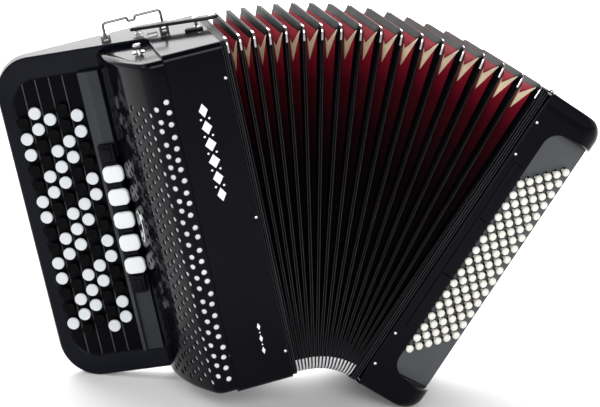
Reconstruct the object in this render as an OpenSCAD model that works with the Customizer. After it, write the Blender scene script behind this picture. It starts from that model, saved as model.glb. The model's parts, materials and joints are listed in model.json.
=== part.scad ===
// Chromatic button accordion: five treble rows, ninety-six bass buttons, standing with its bellows
// fanned open. Each half is modelled upright in its own frame (x away from the treble keyboard,
// y away from the listener, z up along the instrument) and then leaned into place.

/* [Body] */
// Height of both wooden bodies and of the bellows frames
body_h = 411; // [380:1:440]
// Distance from the middle of the bellows to the front of the bodies
front_y = 90; // [86:1:94]
// Distance from the middle of the bellows to the back of the bodies
back_y = 92; // [90:1:96]
// Thickness of the wooden walls
wall = 5; // [4:0.5:7]
// Radius of the long front and back edges
edge_r = 8; // [5:1:10]
// Width of the treble body between grille and bellows frame
treble_w = 68; // [64:1:74]
// Width of the bass body outside its bellows frame
bass_w = 92; // [90:1:96]

/* [Bellows] */
// Depth of a fold from front to back
fold_d = 160; // [150:1:164]
// Thickness of one fold frame
fold_t = 3.2; // [2.6:0.1:3.3]
// Distance from fold to fold along the bottom when the bellows is shut
fold_pitch = 3.65; // [3.6:0.05:4]
// Width of the cardboard strip that a fold frame is made of
fold_strip = 24; // [18:1:30]
// Opening angle of the first fold, next to the treble
narrow_fold = 1.62; // [1:0.01:2]
// Opening angle of the last fold, next to the bass
wide_fold = 3.27; // [2.5:0.01:3.6]
// Lean of the treble half away from upright
treble_lean = 14.7; // [12:0.1:18]

/* [Treble keyboard] */
// Tilt of the keyboard from the front plane
keyboard_tilt = 22; // [20:0.5:23]
// Distance between two buttons of one row
treble_pitch = 19.8; // [19:0.1:20]
// Distance between two rows
treble_row_gap = 16.8; // [16:0.1:17]
// Diameter of a treble button
treble_button_d = 15; // [13:0.5:15.5]
// Travel of a treble button
treble_travel = 3; // [2:0.5:3]

/* [Registers] */
// Length of a register tab across the keyboard
tab_l = 25; // [20:0.5:25]
// Width of a register tab along the keyboard
tab_w = 20; // [18:0.5:24]
// Distance from tab to tab
tab_pitch = 29; // [28:0.5:30]

/* [Bass keyboard] */
// Tilt of the bass button board from the front plane
board_tilt = 22; // [21:0.5:23]
// Distance between two buttons of one bass row
bass_pitch = 15.6; // [15:0.1:15.8]
// Distance between two bass rows
bass_row_gap = 10.55; // [10:0.05:10.8]
// How much further up each bass row starts
bass_row_rise = 7.96; // [7.5:0.01:8]
// Diameter of a bass button
bass_button_d = 9.6; // [8:0.1:9.8]
// Travel of a bass button
bass_travel = 3; // [2:0.5:3]

/* [Hidden] */
$fn = 48;

gloss_black = [0.05, 0.05, 0.06];
satin_grey = [0.31, 0.32, 0.34];
ivory = [0.9, 0.89, 0.86];
chrome = [0.8, 0.8, 0.82];
pale_wood = [0.72, 0.56, 0.38];
dark_leather = [0.07, 0.06, 0.06];
fold_black = [0.08, 0.06, 0.07];

// Bottom of the first fold in the standing instrument, which puts the origin under its middle
first_fold = [-5.44, 0, 49.95];
fold_gaps = 17;
last_fold = fold_gaps;

// Opening angle of the gap before fold i, and the lean of fold i from upright
function gap_angle(i) = wide_fold - (wide_fold - narrow_fold) * pow((fold_gaps - i) / (fold_gaps - 1), 2);
function lean(i) = i == 0 ? -treble_lean : lean(i - 1) + gap_angle(i);
function along(i) = [cos(lean(i)), 0, -sin(lean(i))];
function foot(i) = i == 0 ? first_fold : foot(i - 1) + fold_pitch / 2 * (along(i - 1) + along(i));

module at_fold(i) translate(foot(i)) rotate([0, lean(i), 0]) children();
module at_treble() at_fold(0) children();
module at_bass() at_fold(last_fold) children();

// Outlines
module rounded_rect(x0, x1, y0, y1, r) {
    translate([x0 + r, y0]) square([x1 - x0 - 2 * r, y1 - y0]);
    translate([x0, y0 + r]) square([x1 - x0, y1 - y0 - 2 * r]);
    for (x = [x0 + r, x1 - r], y = [y0 + r, y1 - r]) translate([x, y]) circle(r);
}
module outer_rounded_rect(x0, x1, y0, y1, r) {
    translate([x0, y0]) square([x1 - x0 - r, y1 - y0]);
    translate([x0, y0 + r]) square([x1 - x0, y1 - y0 - 2 * r]);
    for (y = [y0 + r, y1 - r]) translate([x1 - r, y]) circle(r);
}
function arc(centre, r, from, to, steps) =
    [for (i = [0:steps]) let (a = from + (to - from) * i / steps) centre + r * [cos(a), sin(a)]];

// Extrusion of an outline (y, z) along x, and of an outline (x, z) along y
module along_x(x0, x1) translate([x0, 0, 0]) rotate([90, 0, 90]) linear_extrude(x1 - x0) children();
module along_y(y0, y1) translate([0, y1, 0]) rotate([90, 0, 0]) linear_extrude(y1 - y0) children();
module along_z(z0, z1) translate([0, 0, z0]) linear_extrude(z1 - z0) children();

// Treble body: x runs from the grille seam to the bellows frame
frame_t = 6.2;
casing_x1 = -fold_t / 2 - frame_t;
casing_x0 = casing_x1 - treble_w;
seam_gap = 0.3;

module treble_casing() color(gloss_black) at_treble() difference() {
    along_x(casing_x0, casing_x1 - seam_gap) rounded_rect(-front_y, back_y, 0, body_h, edge_r);
    along_x(casing_x0 - 1, casing_x1 + 1)
        rounded_rect(wall - front_y, back_y - wall, wall, body_h - wall, 3);
}

// Board with the tone holes, one long slot for each of the five rows of pallets
pallet_board_t = 4;
pallet_slots = 5;
pallet_slot_gap = 24;
module pallet_board() color(pale_wood) at_treble() difference() {
    along_x(casing_x0 + 1, casing_x0 + 1 + pallet_board_t)
        rounded_rect(wall - front_y + 0.3, back_y - wall - 0.3, wall + 0.3, body_h - wall - 0.3, 3);
    for (i = [0:pallet_slots - 1]) translate([casing_x0, (i - 2) * pallet_slot_gap - 24, 60])
        cube([pallet_board_t + 2, 9, 290]);
}

// Keyboard plane: origin on the rim, x across the rows towards the grille, z up, front at -y
keyboard_x = -150;
keyboard_y = 44;
tray_x0 = -256;
tray_x1 = casing_x0 - seam_gap;
tray_z0 = 5;
tray_z1 = 413;
tray_r = 46;
pocket_depth = 5;
tray_floor_t = 2;
module on_keyboard() translate([keyboard_x, keyboard_y, 0]) rotate([0, 0, -keyboard_tilt]) children();
function rim_y(x, depth) =
    keyboard_y - (x - keyboard_x) * tan(keyboard_tilt) + depth / cos(keyboard_tilt);

// Buttons of the treble rows: row r counts from the outer edge, button k from the top
row_x0 = -91;
row_top_z = 314.9;
function first_button(r) = -1 - floor((r + 1) / 2);
function last_button(r) = 12 - floor(r / 2);
function treble_x(r) = row_x0 + treble_row_gap * r;
function treble_z(r, k) = row_top_z - treble_pitch * (k + r / 2);
button_top = 1.5;
cap_t = 3.3;
stem_d = 5;
slot_w = 5.8;

module tray_outline() mirror([1, 0])
    outer_rounded_rect(-tray_x1, -tray_x0, tray_z0, tray_z1, tray_r);
module keyboard_tray() color(gloss_black) at_treble() difference() {
    along_y(0, back_y) tray_outline();
    // everything in front of the tilted rim
    along_z(-1, body_h + 10)
        polygon([[tray_x0 - 9, -1], [tray_x1 + 9, -1], [tray_x1 + 9, rim_y(tray_x1 + 9, 0)],
                 [tray_x0 - 9, rim_y(tray_x0 - 9, 0)]]);
    // pocket that the button rows stand in
    on_keyboard() along_y(-20, pocket_depth) mirror([1, 0])
        outer_rounded_rect(-14, 99, 30, 386, 34);
    // hollow behind the floor
    along_z(14, 404)
        polygon([[-236, rim_y(-236, pocket_depth + tray_floor_t)],
                 [tray_x1 - 6, rim_y(tray_x1 - 6, pocket_depth + tray_floor_t)],
                 [tray_x1 - 6, back_y - 2], [-236, back_y - 2]]);
    on_keyboard() for (r = [0:4])
        translate([treble_x(r) - slot_w / 2, 0, treble_z(r, last_button(r)) - 6])
            cube([slot_w, pocket_depth + tray_floor_t + 1,
                  treble_z(r, first_button(r)) - treble_z(r, last_button(r)) + 12]);
}

// Sloping strip between the last row and the grille
housing_z0 = 128;
housing_z1 = 278;
rail_top = 6;
module rail_section(x0, x1) polygon([[x0, pocket_depth - 0.05], [x0, 1.5 - (x0 + 12) * 0.3],
                                     [x1, 1.5 - (x1 + 12) * 0.3], [x1, pocket_depth - 0.05]]);
module keyboard_rail() color(satin_grey) at_treble() on_keyboard() {
    along_z(31, 385) rail_section(-12, -7.5);
    along_z(31, housing_z0 - 0.5) rail_section(-7.5, 13.5);
    along_z(housing_z1 + 0.5, 385) rail_section(-7.5, 13.5);
}

// Black block that carries the register tabs, and the hinge line of the tabs
housing_x0 = -7;
housing_x1 = 13.8;
housing_h = 7;
tab_t = 5;
tab_top = 14;
tab_x = 6.3;
first_tab_z = 260.5;
module register_housing() color(gloss_black) at_treble() on_keyboard()
    translate([housing_x0, -housing_h, housing_z0])
        cube([housing_x1 - housing_x0, housing_h + pocket_depth - 0.05, housing_z1 - housing_z0]);
module register_tab(i) color(ivory) at_treble() on_keyboard()
    translate([0, 0, first_tab_z - (i - 1) * tab_pitch])
        along_y(-tab_top, tab_t - tab_top)
            rounded_rect(tab_x - tab_l / 2, tab_x + tab_l / 2, -tab_w / 2, tab_w / 2, 7);

module treble_row(r) color(ivory) at_treble() on_keyboard()
    for (k = [first_button(r):last_button(r)]) translate([treble_x(r), 0, treble_z(r, k)])
        rotate([90, 0, 0]) {
            translate([0, 0, button_top - cap_t]) cylinder(h = cap_t, d = treble_button_d);
            translate([0, 0, -pocket_depth - 0.5])
                cylinder(h = button_top - cap_t + pocket_depth + 0.5, d = stem_d);
        }

// Grille: flat front strip, a tight bend and a long shallow curve back to the keyboard
grille_z0 = 3;
grille_z1 = 407;
grille_t = 2.5;
bend_r = 18;
bend_c = [casing_x0 - 12, bend_r - front_y];
bend_end = 60;
side_r = 240;
side_c = bend_c + (side_r - bend_r) * [sin(bend_end), cos(bend_end)];
function grille_curve(inset, side_end) = concat(
    [[casing_x0 - seam_gap, inset - front_y]],
    arc(bend_c, bend_r - inset, -90, -90 - bend_end, 10),
    arc(side_c, side_r - inset, -90 - bend_end - 3, -side_end, 9)
);
module closed_grille(inset) polygon([
    for (p = grille_curve(inset, 179)) p,
    [casing_x0 - 60 + inset, rim_y(casing_x0 - 60, 0) - 0.5],
    [casing_x0 - seam_gap, rim_y(casing_x0, 0) - 0.5]
]);
module treble_grille() color(gloss_black) at_treble() difference() {
    along_z(grille_z0, grille_z1) closed_grille(0);
    along_z(grille_z0 + 3, grille_z1 - 3) translate([0.5, 1]) closed_grille(grille_t);
}
module grille_cloth() color([0.78, 0.78, 0.8]) at_treble() along_z(grille_z0 + 8, grille_z1 - 8)
    polygon(concat(grille_curve(grille_t + 1.4, 179),
                   [for (i = [len(grille_curve(0, 179)) - 1:-1:0]) grille_curve(grille_t + 2, 179)[i]]));

// Oval badge on the side of the grille
badge_a = 20;
badge_b = 8;
badge_angle = 81;
badge_z = 199;
module grille_badge() color(chrome) at_treble()
    translate([side_c[0] - side_r * sin(badge_angle), side_c[1] - side_r * cos(badge_angle), badge_z])
        rotate([0, 0, -badge_angle]) along_y(-1.6, -0.4) intersection() {
            translate([-(badge_a * badge_a - badge_b * badge_b) / (2 * badge_b), 0])
                circle((badge_a * badge_a + badge_b * badge_b) / (2 * badge_b));
            translate([(badge_a * badge_a - badge_b * badge_b) / (2 * badge_b), 0])
                circle((badge_a * badge_a + badge_b * badge_b) / (2 * badge_b));
        }

// Inside the treble body: pallets with their levers under the grille, reed blocks behind the board
lever_count = 18;
module valve_levers() color(chrome) at_treble()
    for (i = [0:lever_count - 1]) translate([casing_x0 - 9.5, -50, 60 + i * 16]) {
        cube([2, 66, 3]);
        translate([2, 4, -4]) cube([8, 14, 11]);
    }
block_count = 3;
module reed_block(x0, x1, z0, z1) translate([x0, 0, z0]) {
    cube([x1 - x0, 16, z1 - z0]);
    for (z = [8:24:z1 - z0 - 20]) translate([4, -2, z]) cube([x1 - x0 - 8, 2, 16]);
}
module treble_reed_blocks() color(pale_wood) at_treble() for (i = [0:block_count - 1])
    translate([0, -60 + i * 46, 0]) reed_block(casing_x0 + 6, casing_x1 - 6, 30, 380);

// End frames of the bellows, each joined to the outermost fold
module frame_ring(x0, x1, strip) difference() {
    along_x(x0, x1) rounded_rect(-fold_d / 2 - 4, fold_d / 2 + 4, 0, body_h - 1, edge_r);
    along_x(x0 - 1, x1 + 1)
        rounded_rect(strip - fold_d / 2, fold_d / 2 - strip, strip, body_h - strip, 3);
}
module fold_ring() difference() {
    along_x(-fold_t / 2, fold_t / 2) rounded_rect(-fold_d / 2, fold_d / 2, 0, body_h, edge_r);
    translate([-fold_t, fold_strip - fold_d / 2, fold_strip])
        cube([2 * fold_t, fold_d - 2 * fold_strip, body_h - 2 * fold_strip]);
}
module fold(i) color(fold_black) at_fold(i) fold_ring();
module treble_bellows_frame() color(fold_black) at_treble() {
    fold_ring();
    frame_ring(casing_x1, -fold_t / 2, fold_strip - 4);
}

// Two leather straps that hold the bellows shut, unbuttoned and lying on the treble body
strap_t = 4;
strap_w = 14;
strap_z = body_h + 7;
post_d = 6;
module on_top_strap() translate([-90, 43.5, 0]) rotate([0, 0, -25]) children();
module bellows_straps() color(dark_leather) at_treble() {
    on_top_strap() translate([0, 0, strap_z]) cube([106, strap_w, strap_t]);
    translate([-70, 20, -strap_t - 0.1]) cube([58, strap_w, strap_t]);
}
// The two posts that the top strap buttons onto, each from the surface below it
module strap_post(along, foot_z) on_top_strap() translate([along, strap_w / 2, foot_z + 0.05])
    cylinder(h = strap_z - foot_z - 0.1, d = post_d);

// Knurled screw that holds the grille, on its top end
screw_x = -93;
screw_y = -23;
module grille_screw() translate([screw_x, screw_y, grille_z1 + 0.05]) {
    cylinder(h = 1.5, d = 15);
    translate([0, 0, 1.5]) cylinder(h = 2, d = 6);
    translate([0, 0, 3.5]) cylinder(h = 7, d = 10);
}

// Pins that fix each body to its bellows frame
pin_d = 3.5;
pin_z = [36, 203, 370];
module pins(x, zs) for (z = zs) {
    translate([x, 3 - front_y, z]) rotate([90, 0, 0]) cylinder(h = 3.8, d = pin_d);
    translate([x, back_y, z]) rotate([90, 0, 0]) cylinder(h = 3, d = pin_d);
}
module treble_fasteners() color(chrome) at_treble() {
    pins(casing_x1 - 3.5, pin_z);
    grille_screw();
    strap_post(6, tray_z1);
    strap_post(78, body_h);
}

// Wire bracket for the shoulder straps, and the lugs that it swings in
bracket_x0 = -119;
bracket_x1 = -50;
bracket_y = 51;
wire_d = 3.5;
bracket_axis_z = tray_z1 + 4;
bracket_rise = 17;
bend_wire_r = 4;
dip_x = -85;
dip_r = 2.2;
module wire_bend(x, z, start, r) translate([x, 0, z]) rotate([90, 0, 0]) rotate([0, 0, start])
    rotate_extrude(angle = 90) translate([r, 0]) circle(d = wire_d);
module wire_along_x(x0, x1, z) translate([x0, 0, z]) rotate([0, 90, 0]) cylinder(h = x1 - x0, d = wire_d);
// The dip in the middle keeps the two shoulder straps apart
module strap_bracket() color(chrome) at_treble() translate([0, bracket_y, bracket_axis_z]) {
    for (x = [bracket_x0, bracket_x1]) {
        translate([x, 0, 0]) cylinder(h = bracket_rise - bend_wire_r, d = wire_d);
        wire_along_x(x - 5.5, x + 5.5, 0);
    }
    wire_bend(bracket_x0 + bend_wire_r, bracket_rise - bend_wire_r, 90, bend_wire_r);
    wire_bend(bracket_x1 - bend_wire_r, bracket_rise - bend_wire_r, 0, bend_wire_r);
    wire_along_x(bracket_x0 + bend_wire_r, dip_x - 3 * dip_r, bracket_rise);
    wire_along_x(dip_x + 3 * dip_r, bracket_x1 - bend_wire_r, bracket_rise);
    wire_along_x(dip_x - dip_r, dip_x + dip_r, bracket_rise - 2 * dip_r);
    wire_bend(dip_x - 3 * dip_r, bracket_rise - dip_r, 0, dip_r);
    wire_bend(dip_x - dip_r, bracket_rise - dip_r, 180, dip_r);
    wire_bend(dip_x + dip_r, bracket_rise - dip_r, 270, dip_r);
    wire_bend(dip_x + 3 * dip_r, bracket_rise - dip_r, 90, dip_r);
}
module bracket_base() color(chrome) at_treble() {
    for (x = [bracket_x0, bracket_x1], side = [-1, 1]) translate([x + side * 4, bracket_y, 0])
        difference() {
            translate([-1.5, -4, (x == bracket_x0 ? tray_z1 : body_h) + 0.05])
                cube([3, 8, x == bracket_x0 ? 7.5 : 9.5]);
            translate([0, 0, bracket_axis_z]) rotate([0, 90, 0])
                cylinder(h = 8, d = wire_d + 0.12, center = true);
        }
}

// Plate with an eye for the lower end of a shoulder strap
eye_x = -120;
eye_y = 78;
eye_r = 4;
module lower_strap_eye() color(chrome) at_treble() translate([eye_x, eye_y, tray_z0]) difference() {
    union() {
        translate([-12, -2, -2.05]) cube([24, 10, 2]);
        translate([0, 4, -12]) rotate([90, 0, 0]) cylinder(h = 3, r = 8);
        translate([-8, 1, -12]) cube([16, 3, 11]);
    }
    translate([0, 6, -12]) rotate([90, 0, 0]) cylinder(h = 8, r = eye_r);
}

// Bass body: x runs from its bellows frame to the outer face
bass_x0 = fold_t / 2 + frame_t + 2;
bass_x1 = bass_x0 + bass_w;
bass_front_r = 30;
bass_end_r = 24;
board_x = 69;
board_y = -72.6;
board_t = 2;
bass_bar_z = [89, 166, 243];
bass_bar_l = 76.4;
bass_bar_x = [20, 33];
module on_board() translate([board_x, board_y, 0]) rotate([0, 0, board_tilt]) children();
function board_plane_y(x, depth) = board_y + (x - board_x) * tan(board_tilt) + depth / cos(board_tilt);

// Outline of the opening over the button board, in the board's own plane
module board_opening(grow) polygon(concat(
    [[70, 34 - grow], [70, 376 + grow]],
    arc([-17, 352], 20 + grow, 90, 180, 6),
    arc([-17, 60], 20 + grow, 180, 270, 6)
));
module bass_outer() intersection() {
    along_x(bass_x0, bass_x1) rounded_rect(-front_y, back_y, 0, body_h, edge_r);
    along_z(0, body_h) outer_rounded_rect(bass_x0, bass_x1, -front_y, back_y, bass_front_r);
    along_y(-front_y, back_y) outer_rounded_rect(bass_x0, bass_x1, 0, body_h, bass_end_r);
}
module bass_casing() color(gloss_black) at_bass() difference() {
    bass_outer();
    // inside of the body, behind the button board
    along_z(wall, body_h - wall) polygon([
        [bass_x0 - 1, wall - front_y], [bass_bar_x[1] + 1, wall - front_y],
        [bass_bar_x[1] + 1, board_plane_y(bass_bar_x[1] + 1, board_t + 0.3)],
        [bass_x1 - wall, board_plane_y(bass_x1 - wall, board_t + 0.3)],
        [bass_x1 - wall, back_y - 24], [bass_x1 - 24, back_y - wall], [bass_x0 - 1, back_y - wall]
    ]);
    // opening over the board, and the outer side of the body along it
    on_board() along_y(-60, board_t + 0.4) board_opening(0);
    for (z = bass_bar_z) translate([bass_bar_x[0] - 0.3, -front_y - 1, z - 0.3])
        cube([bass_bar_x[1] - bass_bar_x[0] + 0.6, wall + 2, bass_bar_l + 0.6]);
    translate([bass_x1 - wall - 1, air_y, air_z]) rotate([0, 90, 0]) cylinder(h = wall + 2, d = air_d + 0.8);
}
module bass_button_board() color(satin_grey) at_bass() on_board() difference() {
    intersection() {
        along_y(0, board_t) board_opening(-0.3);
        along_y(-1, 10) translate([-60, 0]) square([60 + 34.5, body_h]);
    }
    for (r = [0:5]) translate([bass_x(r) - 2.4, -1, bass_z(r, 0) - 5])
        cube([4.8, board_t + 2, 15 * bass_pitch + 10]);
}

bass_row_x0 = -31.6;
bass_row_z0 = 67.7;
bass_cap_top = 8;
bass_cap_h = 4.6;
bass_stem_d = 4;
function bass_x(r) = bass_row_x0 + bass_row_gap * r;
function bass_z(r, k) = bass_row_z0 + bass_pitch * k + bass_row_rise * r;
module bass_row(r) color(ivory) at_bass() on_board()
    for (k = [0:15]) translate([bass_x(r), 0, bass_z(r, k)]) rotate([90, 0, 0]) {
        translate([0, 0, bass_cap_top - bass_cap_h]) cylinder(h = bass_cap_h - 1, d = bass_button_d);
        translate([0, 0, bass_cap_top - 1]) cylinder(h = 1, d1 = bass_button_d, d2 = bass_button_d - 3);
        translate([0, 0, -5]) cylinder(h = 5 + bass_cap_top - bass_cap_h, d = bass_stem_d);
    }

module bass_bellows_frame() color(fold_black) at_bass() {
    fold_ring();
    frame_ring(fold_t / 2, bass_x0 - seam_gap, fold_strip - 4);
}
module bass_register(i) color(gloss_black) at_bass()
    translate([bass_bar_x[0], -front_y - 2.5, bass_bar_z[i]])
        cube([bass_bar_x[1] - bass_bar_x[0], 8, bass_bar_l]);

// Hand strap: a padded leather band that bows out from the outer face
hand_y0 = 8;
hand_y1 = 74;
hand_z0 = 34;
hand_z1 = 377;
hand_rise = 26;
hand_t = 4;
function bow_r(rise) = (pow((hand_z1 - hand_z0) / 2, 2) + rise * rise) / (2 * rise);
module bow(r, x) translate([x - r, (hand_z0 + hand_z1) / 2]) circle(r, $fn = 180);
module bass_strap() color(dark_leather) at_bass() along_y(hand_y0, hand_y1) difference() {
    intersection() {
        bow(bow_r(hand_rise), bass_x1 + 0.3 + hand_rise);
        translate([bass_x1 + 0.3, hand_z0]) square([hand_rise + 5, hand_z1 - hand_z0]);
    }
    bow(bow_r(hand_rise), bass_x1 + 0.3 + hand_rise - hand_t);
}

// Thumb wheel that tightens the hand strap, on the top end of the bass body
wheel_x = 66;
wheel_y = 41;
wheel_d = 14;
module strap_wheel() color(chrome) at_bass() translate([wheel_x, wheel_y, body_h + 0.3]) {
    cylinder(h = 3.2, d = wheel_d);
    translate([0, 0, 3.2]) cylinder(h = 0.8, d = 8);
}

air_y = -20;
air_z = 372;
air_d = 15;
module air_button() color(ivory) at_bass() translate([bass_x1 - wall - 4, air_y, air_z]) rotate([0, 90, 0])
    cylinder(h = wall + 8, d = air_d);

module bass_reed_blocks() color(pale_wood) at_bass() for (i = [0:block_count - 1])
    translate([0, -40 + i * 40, 0]) reed_block(bass_x0 + 4, bass_x0 + 44, 30, 380);

foot_z = [26, 385];
module bass_feet() color([0.1, 0.1, 0.11]) at_bass()
    for (y = [-44, 84 - 22], z = foot_z) translate([bass_x1 + 0.05, y, z]) rotate([0, 90, 0]) {
        cylinder(h = 3, d = 13);
        translate([0, 0, 3]) cylinder(h = 2, d1 = 13, d2 = 8);
    }
bass_pin_z = [32, 75, 328, 372];
module bass_pins() color(chrome) at_bass() pins(bass_x0 + 5, bass_pin_z);

treble_casing();
pallet_board();
treble_grille();
grille_cloth();
keyboard_tray();
keyboard_rail();
register_housing();
treble_bellows_frame();
treble_reed_blocks();
valve_levers();
bellows_straps();
treble_fasteners();
bracket_base();
grille_badge();
lower_strap_eye();
strap_bracket();
register_tab(1);  // register_tab_1
register_tab(2);  // register_tab_2
register_tab(3);  // register_tab_3
register_tab(4);  // register_tab_4
register_tab(5);  // register_tab_5
treble_row(0);  // treble_row_1
treble_row(1);  // treble_row_2
treble_row(2);  // treble_row_3
treble_row(3);  // treble_row_4
treble_row(4);  // treble_row_5
fold(1);  // fold_01
fold(2);  // fold_02
fold(3);  // fold_03
fold(4);  // fold_04
fold(5);  // fold_05
fold(6);  // fold_06
fold(7);  // fold_07
fold(8);  // fold_08
fold(9);  // fold_09
fold(10);  // fold_10
fold(11);  // fold_11
fold(12);  // fold_12
fold(13);  // fold_13
fold(14);  // fold_14
fold(15);  // fold_15
fold(16);  // fold_16
bass_casing();
bass_bellows_frame();
bass_button_board();
bass_row(0);  // bass_row_1
bass_row(1);  // bass_row_2
bass_row(2);  // bass_row_3
bass_row(3);  // bass_row_4
bass_row(4);  // bass_row_5
bass_row(5);  // bass_row_6
bass_strap();
strap_wheel();
air_button();
bass_register(0);  // bass_register_1
bass_register(1);  // bass_register_2
bass_register(2);  // bass_register_3
bass_reed_blocks();
bass_feet();
bass_pins();
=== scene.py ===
"""Looks of the chromatic button accordion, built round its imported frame.

Each half has its own frame, as in the design: x away from the treble keyboard, y away from the
listener and z up along the instrument. All lengths below are millimetres in those frames.
"""
import json
import math
import random

import bmesh
import bpy
from mathutils import Matrix, Vector
from mathutils.geometry import delaunay_2d_cdt


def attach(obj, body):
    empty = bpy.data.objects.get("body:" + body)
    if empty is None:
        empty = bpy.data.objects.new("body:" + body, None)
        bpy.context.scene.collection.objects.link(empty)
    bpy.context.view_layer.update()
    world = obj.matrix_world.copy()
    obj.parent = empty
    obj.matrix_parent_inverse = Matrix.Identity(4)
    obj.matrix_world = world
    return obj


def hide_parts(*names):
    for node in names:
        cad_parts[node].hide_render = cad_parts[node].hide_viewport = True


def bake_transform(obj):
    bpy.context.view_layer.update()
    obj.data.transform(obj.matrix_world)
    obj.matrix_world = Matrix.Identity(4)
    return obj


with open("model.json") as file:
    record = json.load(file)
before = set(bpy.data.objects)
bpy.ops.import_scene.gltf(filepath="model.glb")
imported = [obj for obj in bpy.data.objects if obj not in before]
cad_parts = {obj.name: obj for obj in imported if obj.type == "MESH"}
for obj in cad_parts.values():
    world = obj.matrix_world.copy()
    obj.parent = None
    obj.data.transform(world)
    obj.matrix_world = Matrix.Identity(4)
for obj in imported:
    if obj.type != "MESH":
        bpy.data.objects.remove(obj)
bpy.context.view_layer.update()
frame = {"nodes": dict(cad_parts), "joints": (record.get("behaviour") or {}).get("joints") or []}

# ---------------------------------------------------------------- places
MM = 0.001
LAST = 17
BODY_H = 411.0
FRONT = -90.0
BACK = 92.0
joints = {j["name"]: j for j in frame["joints"]}


def hinge(i):
    """Where the gap before fold i turns."""
    return Vector(joints[f"bellows_hinge_{i:02d}"]["pos_m"]) / MM


FOLD_PITCH = (hinge(2) - hinge(1)).length


def along(i):
    """Direction across fold i, away from the treble."""
    if i == 0:
        return Vector(joints["strap_bracket_hinge"]["axis"])
    if i == LAST:
        up = Vector(joints["strap_wheel_turn"]["axis"])
        return Vector((up.z, 0, -up.x))
    return (hinge(i + 1) - hinge(i)).normalized()


def fold_place(i):
    """Matrix from fold i's own frame, in millimetres, to the row frame, in metres."""
    across = along(i)
    foot = hinge(i) + across * FOLD_PITCH / 2 if i else hinge(1) - across * FOLD_PITCH / 2
    turn = Matrix((
        (across.x, 0, -across.z, foot.x),
        (0, 1, 0, 0),
        (across.z, 0, across.x, foot.z),
        (0, 0, 0, 1),
    ))
    return Matrix.Scale(MM, 4) @ turn


def spin(angle, axis):
    return Matrix.Rotation(math.radians(angle), 4, axis)


def shift(x, y, z):
    return Matrix.Translation((x, y, z))


TREBLE = fold_place(0)
BASS = fold_place(LAST)
# Keyboard plane and bass board plane: x across the rows, -y out of the board, z up
KEYBOARD_TILT = 22
KEYS = shift(-150, 44, 0) @ spin(-KEYBOARD_TILT, "Z")
BOARD = shift(69, -72.6, 0) @ spin(22, "Z")

CASING_X1 = -7.8
CASING_X0 = -75.8
TRAY_TOP = 413
BASS_X0 = 9.8
BASS_X1 = 101.8
AIR_PLACE = shift(BASS_X1, -20, 372)
WHEEL_PLACE = shift(66, 41, 0)
SCREW_AT = (-93, -23)
BRACKET_X = (-119.0, -50.0)
BRACKET_Y = 51.0
BRACKET_AXIS_Z = TRAY_TOP + 4.0
BRACKET_RISE = 17.0
STRAP_Z = BODY_H + 7
STRAP_W = 14.0
STRAP_POSTS = (6, 78)
ON_TOP_STRAP = shift(-90, 43.5, 0) @ spin(-25, "Z")


# ---------------------------------------------------------------- materials
def node_of(tree, kind, inputs=None, **settings):
    made = tree.nodes.new("ShaderNode" + kind)
    for key, value in settings.items():
        setattr(made, key, value)
    for key, value in (inputs or {}).items():
        made.inputs[key].default_value = value
    return made


def material(name, base, rough, metal=0.0, coat=0.0, sheen=0.0, specular=0.5, grain=900.0,
             grain_depth=0.0, spread=0.12, tint=0.15, pattern="noise", stretch=(1, 1, 1)):
    """A surface whose colour and roughness vary slightly, with a fine relief of its own."""
    made = bpy.data.materials.new(name)
    made.use_nodes = True
    tree = made.node_tree
    shader = tree.nodes["Principled BSDF"]
    shader.inputs["Metallic"].default_value = metal
    shader.inputs["Coat Weight"].default_value = coat
    shader.inputs["Coat Roughness"].default_value = 0.04
    shader.inputs["Sheen Weight"].default_value = sheen
    shader.inputs["Sheen Roughness"].default_value = 0.4
    shader.inputs["Specular IOR Level"].default_value = specular
    place = node_of(tree, "TexCoord")
    scaled = node_of(tree, "Mapping", {"Scale": stretch})
    tree.links.new(place.outputs["Object"], scaled.inputs["Vector"])
    broad = node_of(tree, "TexNoise", {"Scale": 14.0, "Detail": 4.0, "Roughness": 0.55})
    tree.links.new(place.outputs["Object"], broad.inputs["Vector"])
    colour = node_of(tree, "ValToRGB")
    dark = [c * (1 - tint) for c in base] + [1]
    light = [min(1, c * (1 + tint)) for c in base] + [1]
    colour.color_ramp.elements[0].color = dark
    colour.color_ramp.elements[1].color = light
    colour.color_ramp.elements[0].position = 0.3
    colour.color_ramp.elements[1].position = 0.7
    tree.links.new(broad.outputs["Fac"], colour.inputs["Fac"])
    tree.links.new(colour.outputs["Color"], shader.inputs["Base Color"])
    dull = node_of(tree, "MapRange", {
        "From Min": 0.3, "From Max": 0.7, "To Min": max(0.02, rough - spread * rough),
        "To Max": min(1, rough + spread * rough)})
    tree.links.new(broad.outputs["Fac"], dull.inputs["Value"])
    tree.links.new(dull.outputs["Result"], shader.inputs["Roughness"])
    if grain_depth:
        if pattern == "cells":
            fine = node_of(tree, "TexVoronoi", {"Scale": grain})
            height = fine.outputs["Distance"]
        else:
            fine = node_of(tree, "TexNoise", {"Scale": grain, "Detail": 3.0})
            height = fine.outputs["Fac"]
        tree.links.new(scaled.outputs["Vector"], fine.inputs["Vector"])
        bump = node_of(tree, "Bump", {"Strength": 0.5, "Distance": grain_depth * MM})
        tree.links.new(height, bump.inputs["Height"])
        tree.links.new(bump.outputs["Normal"], shader.inputs["Normal"])
    return made


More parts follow.
